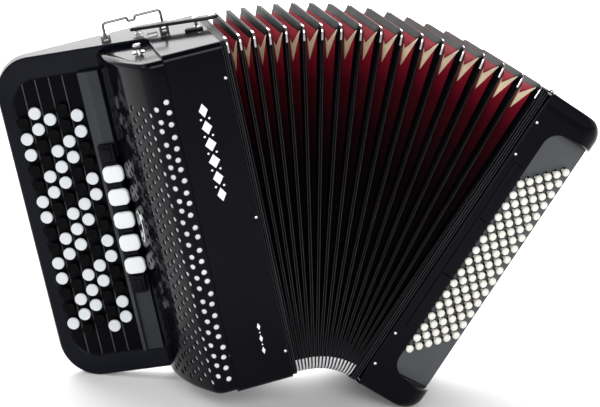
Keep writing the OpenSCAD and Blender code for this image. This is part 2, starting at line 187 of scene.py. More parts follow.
def woven(name, base, rough, pitch, depth, sheen=0.3, colour_and_shade_stops=None):
    """Cloth with a warp and a weft. The optional colour ramp is (rise, colour) pairs along the
    instrument; on the bellows it holds the red and a painted shade that darkens the cloth towards the
    bottom.
    """
    made = material(name, base, rough, sheen=sheen, specular=0.08, tint=0.1)
    tree = made.node_tree
    shader = tree.nodes["Principled BSDF"]
    place = node_of(tree, "TexCoord")
    waves = []
    for axis in ("X", "Z", "Y"):
        wave = node_of(tree, "TexWave", {"Scale": 1 / (pitch * MM) / 3.2, "Distortion": 0.6,
                                         "Detail Scale": 2.0}, bands_direction=axis)
        tree.links.new(place.outputs["Object"], wave.inputs["Vector"])
        waves.append(wave)
    both = node_of(tree, "Math", operation="MULTIPLY")
    tree.links.new(waves[0].outputs["Fac"], both.inputs[0])
    tree.links.new(waves[1].outputs["Fac"], both.inputs[1])
    total = node_of(tree, "Math", operation="ADD")
    tree.links.new(both.outputs[0], total.inputs[0])
    tree.links.new(waves[2].outputs["Fac"], total.inputs[1])
    bump = node_of(tree, "Bump", {"Strength": 0.6, "Distance": depth * MM})
    tree.links.new(total.outputs[0], bump.inputs["Height"])
    tree.links.new(bump.outputs["Normal"], shader.inputs["Normal"])
    # Painted shade: the ramp multiplies the cloth colour by height, darkest at the bottom of the
    # bellows.
    if colour_and_shade_stops:
        rise = node_of(tree, "Attribute", attribute_name="rise")
        fade = node_of(tree, "ValToRGB")
        ramp = fade.color_ramp
        while len(ramp.elements) < len(colour_and_shade_stops):
            ramp.elements.new(0.5)
        for element, (at, tone) in zip(ramp.elements, colour_and_shade_stops):
            element.position = at
            element.color = (*tone, 1)
        tree.links.new(rise.outputs["Fac"], fade.inputs["Fac"])
        old = shader.inputs["Base Color"].links[0].from_socket
        blend = node_of(tree, "Mix", data_type="RGBA", blend_type="MULTIPLY")
        blend.inputs["Factor"].default_value = 1.0
        tree.links.new(fade.outputs["Color"], blend.inputs[6])
        tree.links.new(old, blend.inputs[7])
        tree.links.new(blend.outputs[2], shader.inputs["Base Color"])
    return made


def wood(name, base):
    """Sawn spruce with its grain along the instrument."""
    made = material(name, base, 0.55, tint=0.1)
    tree = made.node_tree
    shader = tree.nodes["Principled BSDF"]
    place = node_of(tree, "TexCoord")
    rings = node_of(tree, "TexWave", {"Scale": 60.0, "Distortion": 2.5, "Detail": 3.0,
                                      "Detail Scale": 0.6}, bands_direction="Y")
    tree.links.new(place.outputs["Object"], rings.inputs["Vector"])
    ramp = node_of(tree, "ValToRGB")
    ramp.color_ramp.elements[0].color = [c * 0.72 for c in base] + [1]
    ramp.color_ramp.elements[1].color = [*base, 1]
    tree.links.new(rings.outputs["Fac"], ramp.inputs["Fac"])
    tree.links.new(ramp.outputs["Color"], shader.inputs["Base Color"])
    return made


gloss = material("gloss_black", (0.0014, 0.0014, 0.0032), 0.12, specular=0.09, grain=260.0,
                 grain_depth=0.012)
# Lighter and bluer than the casing black: partly the tray's own blue-black, partly a painted sheen
# that makes the rim brighter than the pocket floor.
tray_gloss_painted_sheen = material("tray_black", (0.0025, 0.003, 0.0058), 0.2, specular=0.1,
                      grain=260.0, grain_depth=0.012)
satin_rail = material("satin_rail", (0.015, 0.017, 0.022), 0.38, specular=0.25,
                      grain=1500.0, grain_depth=0.03)
board_grey = material("board_grey", (0.058, 0.062, 0.067), 0.42, specular=0.25,
                      grain=1800.0, grain_depth=0.04)
tape_black = material("bellows_tape", (0.0008, 0.0008, 0.0014), 0.42, specular=0.03, tint=0.3,
                      grain=1300.0, grain_depth=0.1, pattern="cells")
# Dark grey for fine beads: real pinstripes on the bellows frames, and a painted highlight on the
# black fold tapes' embossed edges and on the keyboard fins' edges.
stripe_and_highlight_grey = material("stripe_and_highlight_grey", (0.035, 0.035, 0.04), 0.32, specular=0.5, tint=0.2)
# Bellows cloth: red at the top, darkened to near-black towards the bottom as painted shade for the
# narrow valleys.
red_cloth_painted_shade = woven("bellows_cloth", (1, 1, 1), 0.7, 0.8, 0.05, sheen=0.0, colour_and_shade_stops=(
    (0.0, (0.002, 0.0015, 0.002)), (0.6, (0.004, 0.001, 0.0025)), (0.72, (0.014, 0.001, 0.003)),
    (0.84, (0.05, 0.0012, 0.006)), (0.92, (0.17, 0.004, 0.014)), (1.0, (0.36, 0.012, 0.03))))
gusset_hide = material("gusset_leather", (0.62, 0.53, 0.39), 0.6, specular=0.2, tint=0.2, grain=900.0,
                       grain_depth=0.12, pattern="cells")
chrome = material("nickel", (0.78, 0.78, 0.8), 0.12, metal=1.0, grain=700.0, grain_depth=0.01)
wire_steel = material("wire_steel", (0.16, 0.16, 0.165), 0.22, metal=1.0, grain=700.0,
                      grain_depth=0.05)
steel = material("brushed_steel", (0.55, 0.55, 0.57), 0.28, metal=1.0, grain=900.0,
                 grain_depth=0.03, stretch=(1, 1, 0.1))
button_white = material("button_white", (0.5, 0.52, 0.54), 0.24, specular=0.3, tint=0.02)
button_black = material("button_black", (0.0008, 0.0008, 0.0012), 0.2, specular=0.04, tint=0.2)
pocket_black = material("pocket_black", (0.0008, 0.0008, 0.0014), 0.3, specular=0.04, tint=0.2)
tab_white = material("tab_white", (0.62, 0.64, 0.645), 0.16, specular=0.4, tint=0.015)
ivory = material("bass_ivory", (0.74, 0.73, 0.67), 0.26, coat=0.3, tint=0.03)
silver_cloth = woven("grille_cloth", (0.78, 0.78, 0.8), 0.5, 0.5, 0.04, sheen=0.2)
leather = material("strap_leather", (0.006, 0.0055, 0.006), 0.4, specular=0.25, tint=0.3, grain=520.0,
                   grain_depth=0.3, pattern="cells")
thread = material("thread", (0.09, 0.085, 0.085), 0.6, grain=2500.0, grain_depth=0.08)
rubber = material("rubber", (0.012, 0.012, 0.013), 0.6, grain=1500.0, grain_depth=0.05)
inlay = material("white_inlay", (0.76, 0.77, 0.79), 0.3, coat=0.5, tint=0.02)
# Near-black painted shade: the sheet behind the bass board's holes and the slot on the thumb wheel;
# also listed as the bass shell's second finish.
painted_shade_black = material("painted_shade_black", (0.003, 0.003, 0.004), 0.7, grain=600.0, grain_depth=0.1)
spruce = wood("spruce", (0.55, 0.38, 0.2))



# ---------------------------------------------------------------- mesh tools
def circle(radius, steps, start=0.0):
    return [(radius * math.cos(2 * math.pi * k / steps + start),
             radius * math.sin(2 * math.pi * k / steps + start)) for k in range(steps)]


def arc(centre, radius, start, end, steps):
    """Points of an arc, angles in degrees."""
    turns = [math.radians(start + (end - start) * k / steps) for k in range(steps + 1)]
    return [(centre[0] + radius * math.cos(t), centre[1] + radius * math.sin(t)) for t in turns]


def rounded_outline(x0, x1, y0, y1, r, steps=6):
    """Rectangle with round corners, counterclockwise. r is one radius or one for each corner."""
    a, b, c, d = r if isinstance(r, tuple) else (r, r, r, r)
    return (arc((x0 + a, y0 + a), a, 180, 270, steps) + arc((x1 - b, y0 + b), b, 270, 360, steps)
            + arc((x1 - c, y1 - c), c, 0, 90, steps) + arc((x0 + d, y1 - d), d, 90, 180, steps))


def counterclockwise(outline):
    """The outline, turned round if it runs clockwise."""
    doubled = sum(a[0] * b[1] - b[0] * a[1] for a, b in zip(outline, outline[1:] + outline[:1]))
    return outline if doubled > 0 else outline[::-1]


def knurled(radius, z, teeth, depth):
    """Ring with a tooth at every other point."""
    reach = [radius + (depth if k % 2 else -depth) for k in range(2 * teeth)]
    return [(r * math.cos(math.pi * k / teeth), r * math.sin(math.pi * k / teeth), z)
            for k, r in enumerate(reach)]


def inset(outline, depth):
    """Outline moved inwards by depth. Counterclockwise outlines only."""
    moved = []
    for k, point in enumerate(outline):
        p = Vector(point)
        before = (p - Vector(outline[k - 1])).normalized()
        after = (Vector(outline[(k + 1) % len(outline)]) - p).normalized()
        left = Vector((-before.y, before.x))
        right = Vector((-after.y, after.x))
        middle = (left + right).normalized()
        moved.append(tuple(p + middle * depth / max(0.4, middle.dot(left))))
    return moved


class Solid:
    """Gathers points, faces and the material number of each face, in millimetres."""

    def __init__(self):
        self.points, self.faces, self.paint = [], [], []

    def add(self, points, faces, paint=0, place=None):
        first = len(self.points)
        self.points += [place @ Vector(p) if place else Vector(p) for p in points]
        self.faces += [[first + k for k in face] for face in faces]
        self.paint += list(paint) if isinstance(paint, (list, tuple)) else [paint] * len(faces)

    def rings(self, rings, paint=0, close=False, place=None):
        """A skin over rings of equal length. close joins the last ring to the first."""
        n, m = len(rings[0]), len(rings)
        faces = []
        for a in range(m if close else m - 1):
            b = (a + 1) % m
            faces += [[a * n + k, a * n + (k + 1) % n, b * n + (k + 1) % n, b * n + k]
                      for k in range(n)]
        if not close:
            faces += [list(range(n))[::-1], [(m - 1) * n + k for k in range(n)]]
        self.add([p for ring in rings for p in ring], faces, paint, place)

    def slab(self, outline, z0, z1, low=0.0, high=0.0, paint=0, place=None, steps=4):
        """Extruded outline with rounded edges of radius low and high."""
        rings = []
        for k in range(steps + 1 if low else 1):
            t = math.pi / 2 * k / steps if low else math.pi / 2
            ring = inset(outline, low * (1 - math.sin(t))) if low else outline
            rings.append([(x, y, z0 + low * (1 - math.cos(t)) if low else z0) for x, y in ring])
        for k in range(steps + 1 if high else 1):
            t = math.pi / 2 * k / steps if high else 0
            ring = inset(outline, high * (1 - math.cos(t))) if high else outline
            rings.append([(x, y, z1 - high * (1 - math.sin(t)) if high else z1) for x, y in ring])
        self.rings(rings, paint, place=place)

    def lathe(self, profile, place=None, steps=24, paint=0):
        """Turned shape: profile is (radius, height) from one end to the other."""
        self.rings([[(x, y, h) for x, y in circle(r, steps)] for r, h in profile], paint,
                   place=place)

    def tube(self, path, radius, sides=10, paint=0, place=None, close=False):
        """Round wire along a path."""
        path = [Vector(p) for p in path]
        n = len(path)
        rings, side = [], None
        for k, p in enumerate(path):
            before = path[k - 1] if close or k else p
            after = path[(k + 1) % n] if close or k < n - 1 else p
            forward = (after - before).normalized()
            if side is None:
                side = forward.orthogonal().normalized()
            side = (side - forward * side.dot(forward)).normalized()
            other = forward.cross(side)
            rings.append([p + (side * x + other * y) for x, y in circle(radius, sides)])
        self.rings(rings, paint, close=close, place=place)

    def block(self, low, high, radius=0.6, paint=0, place=None, steps=3):
        """Box with every edge rounded."""
        built = bmesh.new()
        bmesh.ops.create_cube(built, size=1)
        for v in built.verts:
            v.co = [(low[k] + high[k]) / 2 + v.co[k] * (high[k] - low[k]) for k in range(3)]
        if radius:
            bmesh.ops.bevel(built, geom=list(built.edges), offset=radius, segments=steps,
                            profile=0.5, affect="EDGES")
        built.verts.index_update()
        self.add([v.co.copy() for v in built.verts],
                 [[v.index for v in f.verts] for f in built.faces], paint, place)
        built.free()

    def mesh(self, name, place):
        """The gathered shape as a mesh in the row frame, in metres."""
        made = bpy.data.meshes.new(name)
        made.from_pydata([place @ p for p in self.points], [], self.faces)
        made.polygons.foreach_set("material_index", self.paint)
        built = bmesh.new()
        built.from_mesh(made)
        bmesh.ops.recalc_face_normals(built, faces=list(built.faces))
        built.to_mesh(made)
        built.free()
        return made


def piece(name, solid, place, body, paints, stands_for=(), sharp=35, weighted=False):
    """Makes the solid an object that rides on its body."""
    made = bpy.data.objects.new(name, solid.mesh(name, place))
    bpy.context.scene.collection.objects.link(made)
    for paint in paints:
        made.data.materials.append(paint)
    made.data.shade_smooth()
    made.data.set_sharp_from_angle(angle=math.radians(sharp))
    if weighted:
        made.modifiers.new("even_shading", "WEIGHTED_NORMAL").keep_sharp = True
    if body:
        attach(made, body)
    if stands_for:
        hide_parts(*stands_for)
    return made


def plate(outline, holes, inside=()):
    """Triangles of a flat outline with holes. Returns 2D points, triangles and border edges."""
    points = [Vector(p) for p in outline]
    loops = [list(range(len(points)))]
    for hole in holes:
        loops.append(list(range(len(points), len(points) + len(hole))))
        points += [Vector(p) for p in hole]
    points += [Vector(p) for p in inside]
    flat, _, cells, _, _, origins = delaunay_2d_cdt(points, [], loops, 0, 1e-4)
    kept = [list(c) for c, o in zip(cells, origins) if 0 in o and not any(q > 0 for q in o)]
    seen = {}
    for cell in kept:
        for k in range(3):
            a, b = cell[k], cell[(k + 1) % 3]
            seen[(a, b)] = seen.get((a, b), 0) + 1
    border = [e for e in seen if (e[1], e[0]) not in seen]
    return [tuple(p) for p in flat], kept, border


def holed_sheet(solid, flat, cells, border, surface, thick, paint=0):
    """Bends a flat plate onto a surface and gives it a thickness. surface gives point and normal."""
    used = sorted({k for cell in cells for k in cell})
    number = {k: n for n, k in enumerate(used)}
    front, back = [], []
    for k in used:
        point, normal = surface(*flat[k])
        front.append(point)
        back.append(point - normal * thick)
    n = len(used)
    faces = [[number[k] for k in cell] for cell in cells]
    faces += [[number[k] + n for k in reversed(cell)] for cell in cells]
    faces += [[number[b], number[a], number[a] + n, number[b] + n] for a, b in border]
    solid.add(front + back, faces, paint)


# ---------------------------------------------------------------- camera, floor and light
def camera():
    """The photograph's view: a long lens a little to the treble side and above."""
    made = bpy.data.objects.new("camera", bpy.data.cameras.new("camera"))
    bpy.context.scene.collection.objects.link(made)
    made.data.lens = 124.3
    made.data.sensor_width = 36
    azimuth, elevation, roll = math.radians(-13.71), math.radians(14.71), math.radians(3.05)
    target = Vector((4.4, 0, 235.0)) * MM
    away = Vector((math.sin(azimuth) * math.cos(elevation),
                   -math.cos(azimuth) * math.cos(elevation), math.sin(elevation)))
    made.location = target + away * 2.462
    made.rotation_mode = "QUATERNION"
    turn = Matrix.Rotation(roll, 4, away)
    made.rotation_quaternion = (turn @ (-away).to_track_quat("-Z", "Y").to_matrix().to_4x4()
                                ).to_quaternion()
    bpy.context.scene.camera = made


def stage_material():
    made = bpy.data.materials.new("studio")
    made.use_nodes = True
    shader = made.node_tree.nodes["Principled BSDF"]
    shader.inputs["Base Color"].default_value = (0.9, 0.9, 0.9, 1)
    shader.inputs["Roughness"].default_value = 0.9
    shader.inputs["Specular IOR Level"].default_value = 0.0
    return made


def area_light(name, at, aim, size, radiance, spread=180):
    """Rectangular light at a place in metres, aimed at a point."""
    light = bpy.data.objects.new(name, bpy.data.lights.new(name, "AREA"))
    light.data.shape = "RECTANGLE"
    light.data.size, light.data.size_y = size
    light.data.energy = radiance * math.pi * size[0] * size[1]
    light.data.spread = math.radians(spread)
    light.location = at
    light.rotation_mode = "QUATERNION"
    light.rotation_quaternion = (Vector(aim) - light.location).to_track_quat("-Z", "Y")
    bpy.context.scene.collection.objects.link(light)


def studio():
    """Pale floor, a soft key from the front, and bright panels behind that the gloss mirrors.

    The sky is pale near the horizon and dim overhead.
    """
    floor = Solid()
    reach = 9.0
    floor.add([(-reach, -reach, 0), (reach, -reach, 0), (reach, reach, 0), (-reach, reach, 0)],
              [[0, 1, 2, 3]])
    made = bpy.data.objects.new("floor", bpy.data.meshes.new("floor"))
    made.data.from_pydata([Vector(p) for p in floor.points], [], floor.faces)
    made.data.materials.append(stage_material())
    bpy.context.scene.collection.objects.link(made)
    world = bpy.data.worlds.new("studio")
    world.use_nodes = True
    tree = world.node_tree
    direction = node_of(tree, "TexCoord")
    height = node_of(tree, "SeparateXYZ")
    tree.links.new(direction.outputs["Generated"], height.inputs[0])
    fade = node_of(tree, "ValToRGB")
    for element, at, tone in zip(fade.color_ramp.elements, (0.3, 0.6), (0.9, 0.13)):
        element.position = at
        element.color = (tone, tone, tone, 1)
    tree.links.new(height.outputs["Z"], fade.inputs["Fac"])
    tree.links.new(fade.outputs["Color"], tree.nodes["Background"].inputs["Color"])
    tree.nodes["Background"].inputs["Strength"].default_value = 1.0
    bpy.context.scene.world = world
    area_light("key", (-0.2, -2.6, 1.3), (0, 0, 0.25), (2.0, 1.6), 1.15, 70)
    area_light("back_panel", (0, 6, 2.2), (0, 0, 2.2), (9, 4.4), 2.2)
    area_light("back_top", (0, 3.2, 2.7), (0, 3.2, 0), (5, 4), 6.0)
    area_light("left_pool", (-1.4, -0.3, 1.0), (-0.45, -0.35, 0), (0.7, 0.7), 1.4, 80)
    bpy.context.scene.view_settings.view_transform = "Standard"


# ---------------------------------------------------------------- bodies
def wooden_ring(solid, x0, x1, wall=5.0, radius=8.0, y0=FRONT, y1=BACK, z0=0.0, z1=BODY_H):
    """Open box that runs along x, with softened ends."""
    outer = rounded_outline(y0, y1, z0, z1, radius, 8)
    inner = inset(outer, wall)
    soft = 0.6
    sections = [(x0 + soft, outer, 0), (x0, outer, soft), (x0, inner, 0), (x1, inner, 0),
                (x1, outer, soft), (x1 - soft, outer, 0)]
    rings = [[(x, y, z) for y, z in inset(ring, depth)] for x, ring, depth in sections]
    solid.rings(rings, close=True)


def treble_casing():
    solid = Solid()
    wooden_ring(solid, CASING_X0, CASING_X1 - 0.3)
    piece("treble_casing_shell", solid, TREBLE, "treble", [gloss], ["treble_casing"],
          weighted=True)


def lozenge(solid, x, z, long, wide, rise=0.25):
    """Small diamond inlay standing up from the front face."""
    solid.slab([(-wide, 0), (0, -long), (wide, 0), (0, long)], 0, rise,
               place=shift(x, FRONT + 0.02, z) @ spin(90, "X"))


def casing_inlay():
    """A plain ornament of diamonds and dots down the front of the treble body."""
    solid = Solid()
    for k in range(6):
        z = 240 + 20 * k
        lozenge(solid, -44, z, 8.2, 5.8 + 0.9 * math.cos((k - 2.5) * 0.9))
    for k in range(5):
        for side in (-1, 1):
            dot = shift(-44 + side * 4.8, FRONT + 0.02, 250 + 20 * k) @ spin(90, "X")
            solid.slab(circle(1.25, 16), 0, 0.25, place=dot)
    for k in range(3):
        lozenge(solid, -36, 44 + 15 * k, 4.6, 2.0)
        if k < 2:
            dot = shift(-36, FRONT + 0.02, 51.5 + 15 * k) @ spin(90, "X")
            solid.slab(circle(0.9, 14), 0, 0.25, place=dot)
    piece("casing_inlay", solid, TREBLE, "treble", [inlay])


# ---------------------------------------------------------------- grille
GRILLE_Z0 = 3.0
GRILLE_Z1 = 407.0
GRILLE_T = 2.2
BEND_R = 18.0
BEND_END = 60.0
SIDE_R = 240.0
BEND_C = Vector((CASING_X0 - 12, BEND_R + FRONT))
SIDE_C = BEND_C + (SIDE_R - BEND_R) * Vector((math.sin(math.radians(BEND_END)),
                                              math.cos(math.radians(BEND_END))))
SEAM = CASING_X0 - 0.3
FLAT_L = SEAM - BEND_C.x
BEND_L = math.radians(BEND_END) * BEND_R
SIDE_ANGLE = 29.0
SIDE_L = math.radians(SIDE_ANGLE) * SIDE_R
GRILLE_L = FLAT_L + BEND_L + SIDE_L
EDGE_R = 7.0


def grille_point(s, depth=0.0):
    """Point and outward normal of the grille's plan at arc length s from the seam."""
    if s < FLAT_L:
        return Vector((SEAM - s, FRONT + depth)), Vector((0, -1))
    if s < FLAT_L + BEND_L:
        angle = math.radians(-90) - (s - FLAT_L) / BEND_R
        out = Vector((math.cos(angle), math.sin(angle)))
        return BEND_C + out * (BEND_R - depth), out
    angle = math.radians(-90 - BEND_END) - (s - FLAT_L - BEND_L) / SIDE_R
    out = Vector((math.cos(angle), math.sin(angle)))
    return SIDE_C + out * (SIDE_R - depth), out


def grille_surface(s, w):
    """The same in three dimensions, with the top and bottom edges rounded over."""
    over = max(w - (GRILLE_Z1 - EDGE_R), (GRILLE_Z0 + EDGE_R) - w, 0.0) / EDGE_R
    if over:
        turn = over * math.pi / 2
        point, out = grille_point(s, EDGE_R * (1 - math.cos(turn)))
        up = 1 if w > BODY_H / 2 else -1
        edge = GRILLE_Z1 - EDGE_R if up > 0 else GRILLE_Z0 + EDGE_R
        z = edge + up * EDGE_R * math.sin(turn)
        normal = Vector((out.x * math.cos(turn), out.y * math.cos(turn), up * math.sin(turn)))
        return Vector((point.x, point.y, z)), normal
    point, out = grille_point(s)
    return Vector((point.x, point.y, w)), Vector((out.x, out.y, 0))


HOLE_R = 3.3
BADGE_S = FLAT_L + BEND_L + SIDE_R * math.radians(21)
BADGE_W = 199.0


def grille_holes():
    """Staggered sound holes, shaken a little so that they read as a scatter."""
    shake = random.Random(5)
    centres = []
    column = 0
    gap = 13.6
    s = 6.5
    while s < GRILLE_L - 22:
        w = 20 + (column % 2) * gap / 2
        while w < 362 - 0.12 * s:
            at = (s + shake.uniform(-1.3, 1.3), w + shake.uniform(-1.6, 1.6))
            on_badge = ((at[0] - BADGE_S) / 14) ** 2 + ((at[1] - BADGE_W) / 27) ** 2 < 1
            if at[1] > 16 and not on_badge:
                centres.append(at)
            w += gap
        column += 1
        s += 10.4 if s > FLAT_L + BEND_L else 11.5
    return centres


def treble_grille():
    rows = 34
    columns = [0, FLAT_L / 2, FLAT_L] + [FLAT_L + BEND_L * k / 9 for k in range(1, 10)]
    columns += [FLAT_L + BEND_L + SIDE_L * k / 16 for k in range(1, 17)]
    edge = [0.0, 0.15, 0.3, 0.45, 0.6, 0.75, 0.88]
    heights = [GRILLE_Z0 + EDGE_R * e for e in edge]
    low, high = GRILLE_Z0 + EDGE_R, GRILLE_Z1 - EDGE_R
    heights += [low + (high - low) * k / rows for k in range(rows + 1)]
    heights += [GRILLE_Z1 - EDGE_R * e for e in reversed(edge)]
    outline = ([(s, heights[0]) for s in columns] + [(GRILLE_L, w) for w in heights[1:]]
               + [(s, heights[-1]) for s in reversed(columns[:-1])]
               + [(0.0, w) for w in reversed(heights[1:-1])])
    centres = grille_holes()
    holes = [[(s + x, w + y) for x, y in circle(HOLE_R, 16)] for s, w in centres]
    inside = []
    for s in columns[1:-1]:
        for w in heights[1:-1]:
            if all((s - a) ** 2 + (w - b) ** 2 > (HOLE_R + 0.9) ** 2 for a, b in centres):
                inside.append((s, w))
    flat, cells, border = plate(outline, holes, inside)
    solid = Solid()
    holed_sheet(solid, flat, cells, border, grille_surface, GRILLE_T)
    # top and bottom caps
    rim = [grille_point(s, EDGE_R)[0] for s in columns]
    back_edge = [(CASING_X0 - 57, 22), (SEAM, 16.5)]
    cap = [tuple(p) for p in rim] + back_edge
    for z0, z1 in ((GRILLE_Z0, GRILLE_Z0 + 2), (GRILLE_Z1 - 2, GRILLE_Z1)):
        n = len(cap)
        points = [(x, y, z0) for x, y in cap] + [(x, y, z1) for x, y in cap]
        sides = [[k, (k + 1) % n, (k + 1) % n + n, k + n] for k in range(n)]
        solid.add(points, [list(range(n))[::-1], list(range(n, 2 * n))] + sides)
    piece("grille_shell", solid, TREBLE, "treble", [gloss], ["treble_grille"],
          sharp=40)


def grille_cloth():
    solid = Solid()
    behind = GRILLE_T + 0.35
    columns = [1.5 + (GRILLE_L - 11.5) * k / 40 for k in range(41)]
    loop = [grille_point(s, behind)[0] for s in columns]
    loop += [grille_point(s, behind + 0.6)[0] for s in reversed(columns)]
    solid.rings([[(p.x, p.y, z) for p in loop] for z in (12.0, 398.0)])
    piece("grille_cloth_sheet", solid, TREBLE, "treble", [silver_cloth], ["grille_cloth"])


def badge():
    """Oval metal badge with a plain wave ornament."""
    point, out = grille_point(BADGE_S)
    turn = math.degrees(math.atan2(out.y, out.x)) + 90
    place = shift(point.x, point.y, BADGE_W) @ spin(turn, "Z") @ spin(90, "X")
    solid = Solid()
    steps = 48
    oval = [(8.2 * x, 20 * y) for x, y in circle(1, steps)]
    hollow = [(6.9 * x, 18 * y) for x, y in circle(1, steps)]
    rings = [[(x, y, z) for x, y in ring] for ring, z in
             ((oval, 0.1), (oval, 1.1), (inset(oval, 0.4), 1.5), (hollow, 1.5), (hollow, 0.1))]
    solid.rings(rings, close=True, place=place)
    solid.slab(hollow, 0.1, 0.6, paint=1, place=place)
    for k, height in enumerate((5, 9, 12.5, 9, 5)):
        x = (k - 2) * 2.3
        solid.slab(rounded_outline(x - 0.6, x + 0.6, -height, height, 0.55, 4), 0.55, 1.2,
                   place=place)
    piece("oval_badge", solid, TREBLE, "treble", [chrome, gloss], ["grille_badge"])


# ---------------------------------------------------------------- keyboard
TRAY_X0 = -255.8
TRAY_X1 = CASING_X0 - 0.3
TRAY_Z0 = 5.95
POCKET = 5.0
FLOOR_DEPTH = 5.0
TREBLE_ROW_GAP = 16.8
TREBLE_PITCH = 19.8


def treble_x(row):
    return -91 + TREBLE_ROW_GAP * row


def treble_z(row, k):
    return 314.9 - TREBLE_PITCH * (k + row / 2)


def treble_buttons(row):
    """Button numbers of a row, counted from the top."""
    return range(-1 - (row + 1) // 2, 13 - row // 2)


def keyboard_tray():
    """Tray with a broad rim that slopes down to a pocket, and low fins between the rows."""
    slope = math.cos(math.radians(KEYBOARD_TILT))

    def on_rim(outline, depth):
        """Keyboard-plane outline (s, w) at a depth, as points of the treble frame."""
        return [KEYS @ Vector((s, depth, w)) for s, w in outline]

    def to_keys(x):
        return (x + 150) / slope

    left, right = to_keys(TRAY_X0), to_keys(TRAY_X1)
    steps = 12
    outer = rounded_outline(left, right, TRAY_Z0, TRAY_TOP, (46, 3, 3, 46), steps)
    pocket = rounded_outline(-99, 14, 30, 386, (34, 2, 2, 34), steps)
    solid = Solid()
    back = []
    for s, w in outer:
        x = -150 + s * slope
        back.append((x, BACK, w))
    soft = 1.6
    edge = inset(outer, soft)
    crest = inset(outer, soft + 2.0)
    rings = [
        back,
        on_rim(outer, soft),
        on_rim(inset(outer, soft * 0.3), soft * 0.3),
        on_rim(edge, 0.05),
        on_rim(crest, 0.25),
        on_rim(inset(pocket, -1.2), 2.9),
        on_rim(inset(pocket, -0.3), 3.3),
        on_rim(pocket, 3.9),
        on_rim(pocket, POCKET),
        on_rim(inset(pocket, 1.0), POCKET + 0.3),
    ]
    solid.rings(rings)
    piece("keyboard_body", solid, TREBLE, "treble", [tray_gloss_painted_sheen], ["keyboard_tray"],
          sharp=50, weighted=True)
    floor = Solid()
    for line in range(5):
        s = treble_x(line) - TREBLE_ROW_GAP / 2
        short = 14 if line < 1 else 0
        # The fins' edges are thin tubes in the grey bead finish: a painted highlight on black fins.
        for side in (-0.32, 0.32):
            floor.tube([(s + side, FLOOR_DEPTH - 0.5, 32 + short),
                        (s + side, FLOOR_DEPTH - 0.5, 384 - short)], 0.3, 8, 1)
        floor.block((s - 0.32, FLOOR_DEPTH - 0.5, 32 + short),
                    (s + 0.32, FLOOR_DEPTH, 384 - short), 0.1)
    for row in range(5):
        x = treble_x(row)
        for k in treble_buttons(row):
            floor.lathe([(4.1, 0.0), (4.1, 0.1), (3.4, 0.1), (3.4, 0.0)], steps=16,
                        place=shift(x, FLOOR_DEPTH, treble_z(row, k)) @ spin(90, "X"))
    floor.slab(rounded_outline(-98, 13.6, 31, 385, (33, 1, 1, 33), 10), -0.2, 0.02,
               place=shift(0, FLOOR_DEPTH + 0.1, 0) @ spin(90, "X"))
    piece("keyboard_floor", floor, TREBLE @ KEYS, "treble", [pocket_black, stripe_and_highlight_grey])


def rail():
    """Two-tone strip between the inner row and the grille."""
    solid = Solid()

    def strip(z0, z1, section):
        solid.rings([[(x, y, z) for x, y in section] for z in (z0, z1)])

    narrow = [(-12, 4.9), (-12, -1.2), (-11.4, -1.6), (-7.6, -2.6), (-7.6, 4.9)]
    wide = [(-12, 4.9), (-12, -1.2), (-11.4, -1.6), (0, -4.0), (0.4, -4.2), (13.3, -3.0),
            (13.3, 4.9)]
    strip(278.6, 385, wide)
    strip(31, 278.4, narrow)
    low = [(-7.4, 4.9), (-7.4, 2.2), (-6.8, 1.8), (13.3, 0.6), (13.3, 4.9)]
    strip(31, 127, low)
    piece("keyboard_rail_strip", solid, TREBLE @ KEYS, "treble", [satin_rail],
          ["keyboard_rail"], sharp=20)


def register_housing():
    solid = Solid()
    solid.block((-7, -7, 128), (13.8, 4.9, 278), 1.4)
    # bevelled end blocks, and a low bridge between neighbouring tabs
    for z0, z1 in ((274, 297), (108, 131)):
        solid.block((-6.6, -9.5, z0), (13.4, -2, z1), 2.2)
        solid.block((-4.5, -11.2, z0 + 4), (9, -9, z1 - 5), 0.8)
    for k in range(4):
        z = 246 - 29 * k
        solid.block((-5.2, -9.2, z - 2.4), (13, -6.8, z + 2.4), 0.7)
    piece("register_block", solid, TREBLE @ KEYS, "treble", [gloss], ["register_housing"])


def register_tab(number):
    """Broad white key with round corners and a face that is slightly hollow."""
    solid = Solid()
    place = shift(6.3, 0, 260.5 - 29 * (number - 1)) @ spin(90, "X")
    top, length, width = 14.0, 25.0, 20.0
    outline = rounded_outline(-length / 2, length / 2, -width / 2, width / 2, 6.6, 8)
    levels = [(0.5, top - 5.0), (0.0, top - 4.5), (0.0, top - 1.5), (0.3, top - 0.75),
              (0.9, top - 0.3), (1.7, top - 0.1)]
    rings = [[(x, y, h) for x, y in inset(outline, d)] for d, h in levels]
    for share, h in ((0.7, top - 0.02), (0.4, top - 0.2), (0.15, top - 0.28)):
        rings.append([(x * share, y * share, h) for x, y in outline])
    solid.rings(rings, place=place)
    piece(f"register_tab_{number}_key", solid, TREBLE @ KEYS, f"register_tab_{number}",
          [tab_white], [f"register_tab_{number}"])


NATURALS = (0, 2, 4, 5, 7, 9, 11)


def treble_row(row):
    """A row of round buttons, white for the natural notes and black for the others."""
    solid = Solid()
    top, under = 1.5, -1.8
    for k in treble_buttons(row):
        note = (9 + 3 * k + row) % 12
        paint = 0 if note in NATURALS else 1
        profile = [(2.5, -5.4), (2.5, under), (7.0, under), (7.45, under + 0.4), (7.5, top - 0.9),
                   (7.3, top - 0.35), (6.9, top - 0.08), (6.3, top), (5.4, top - 0.1),
                   (1.2, top - 0.25)]
        solid.lathe(profile, shift(treble_x(row), 0, treble_z(row, k)) @ spin(90, "X"), 36, paint)
    name = f"treble_row_{row + 1}"
    piece(name + "_buttons", solid, TREBLE @ KEYS, name, [button_white, button_black], [name])


# ---------------------------------------------------------------- bellows
FOLD_HALF = 80.0
STRIP = 24.0
NOSE = 1.55
CORNER_R = 8.0
VALLEY_R = 1.2
TAPE_SHARE = 0.36


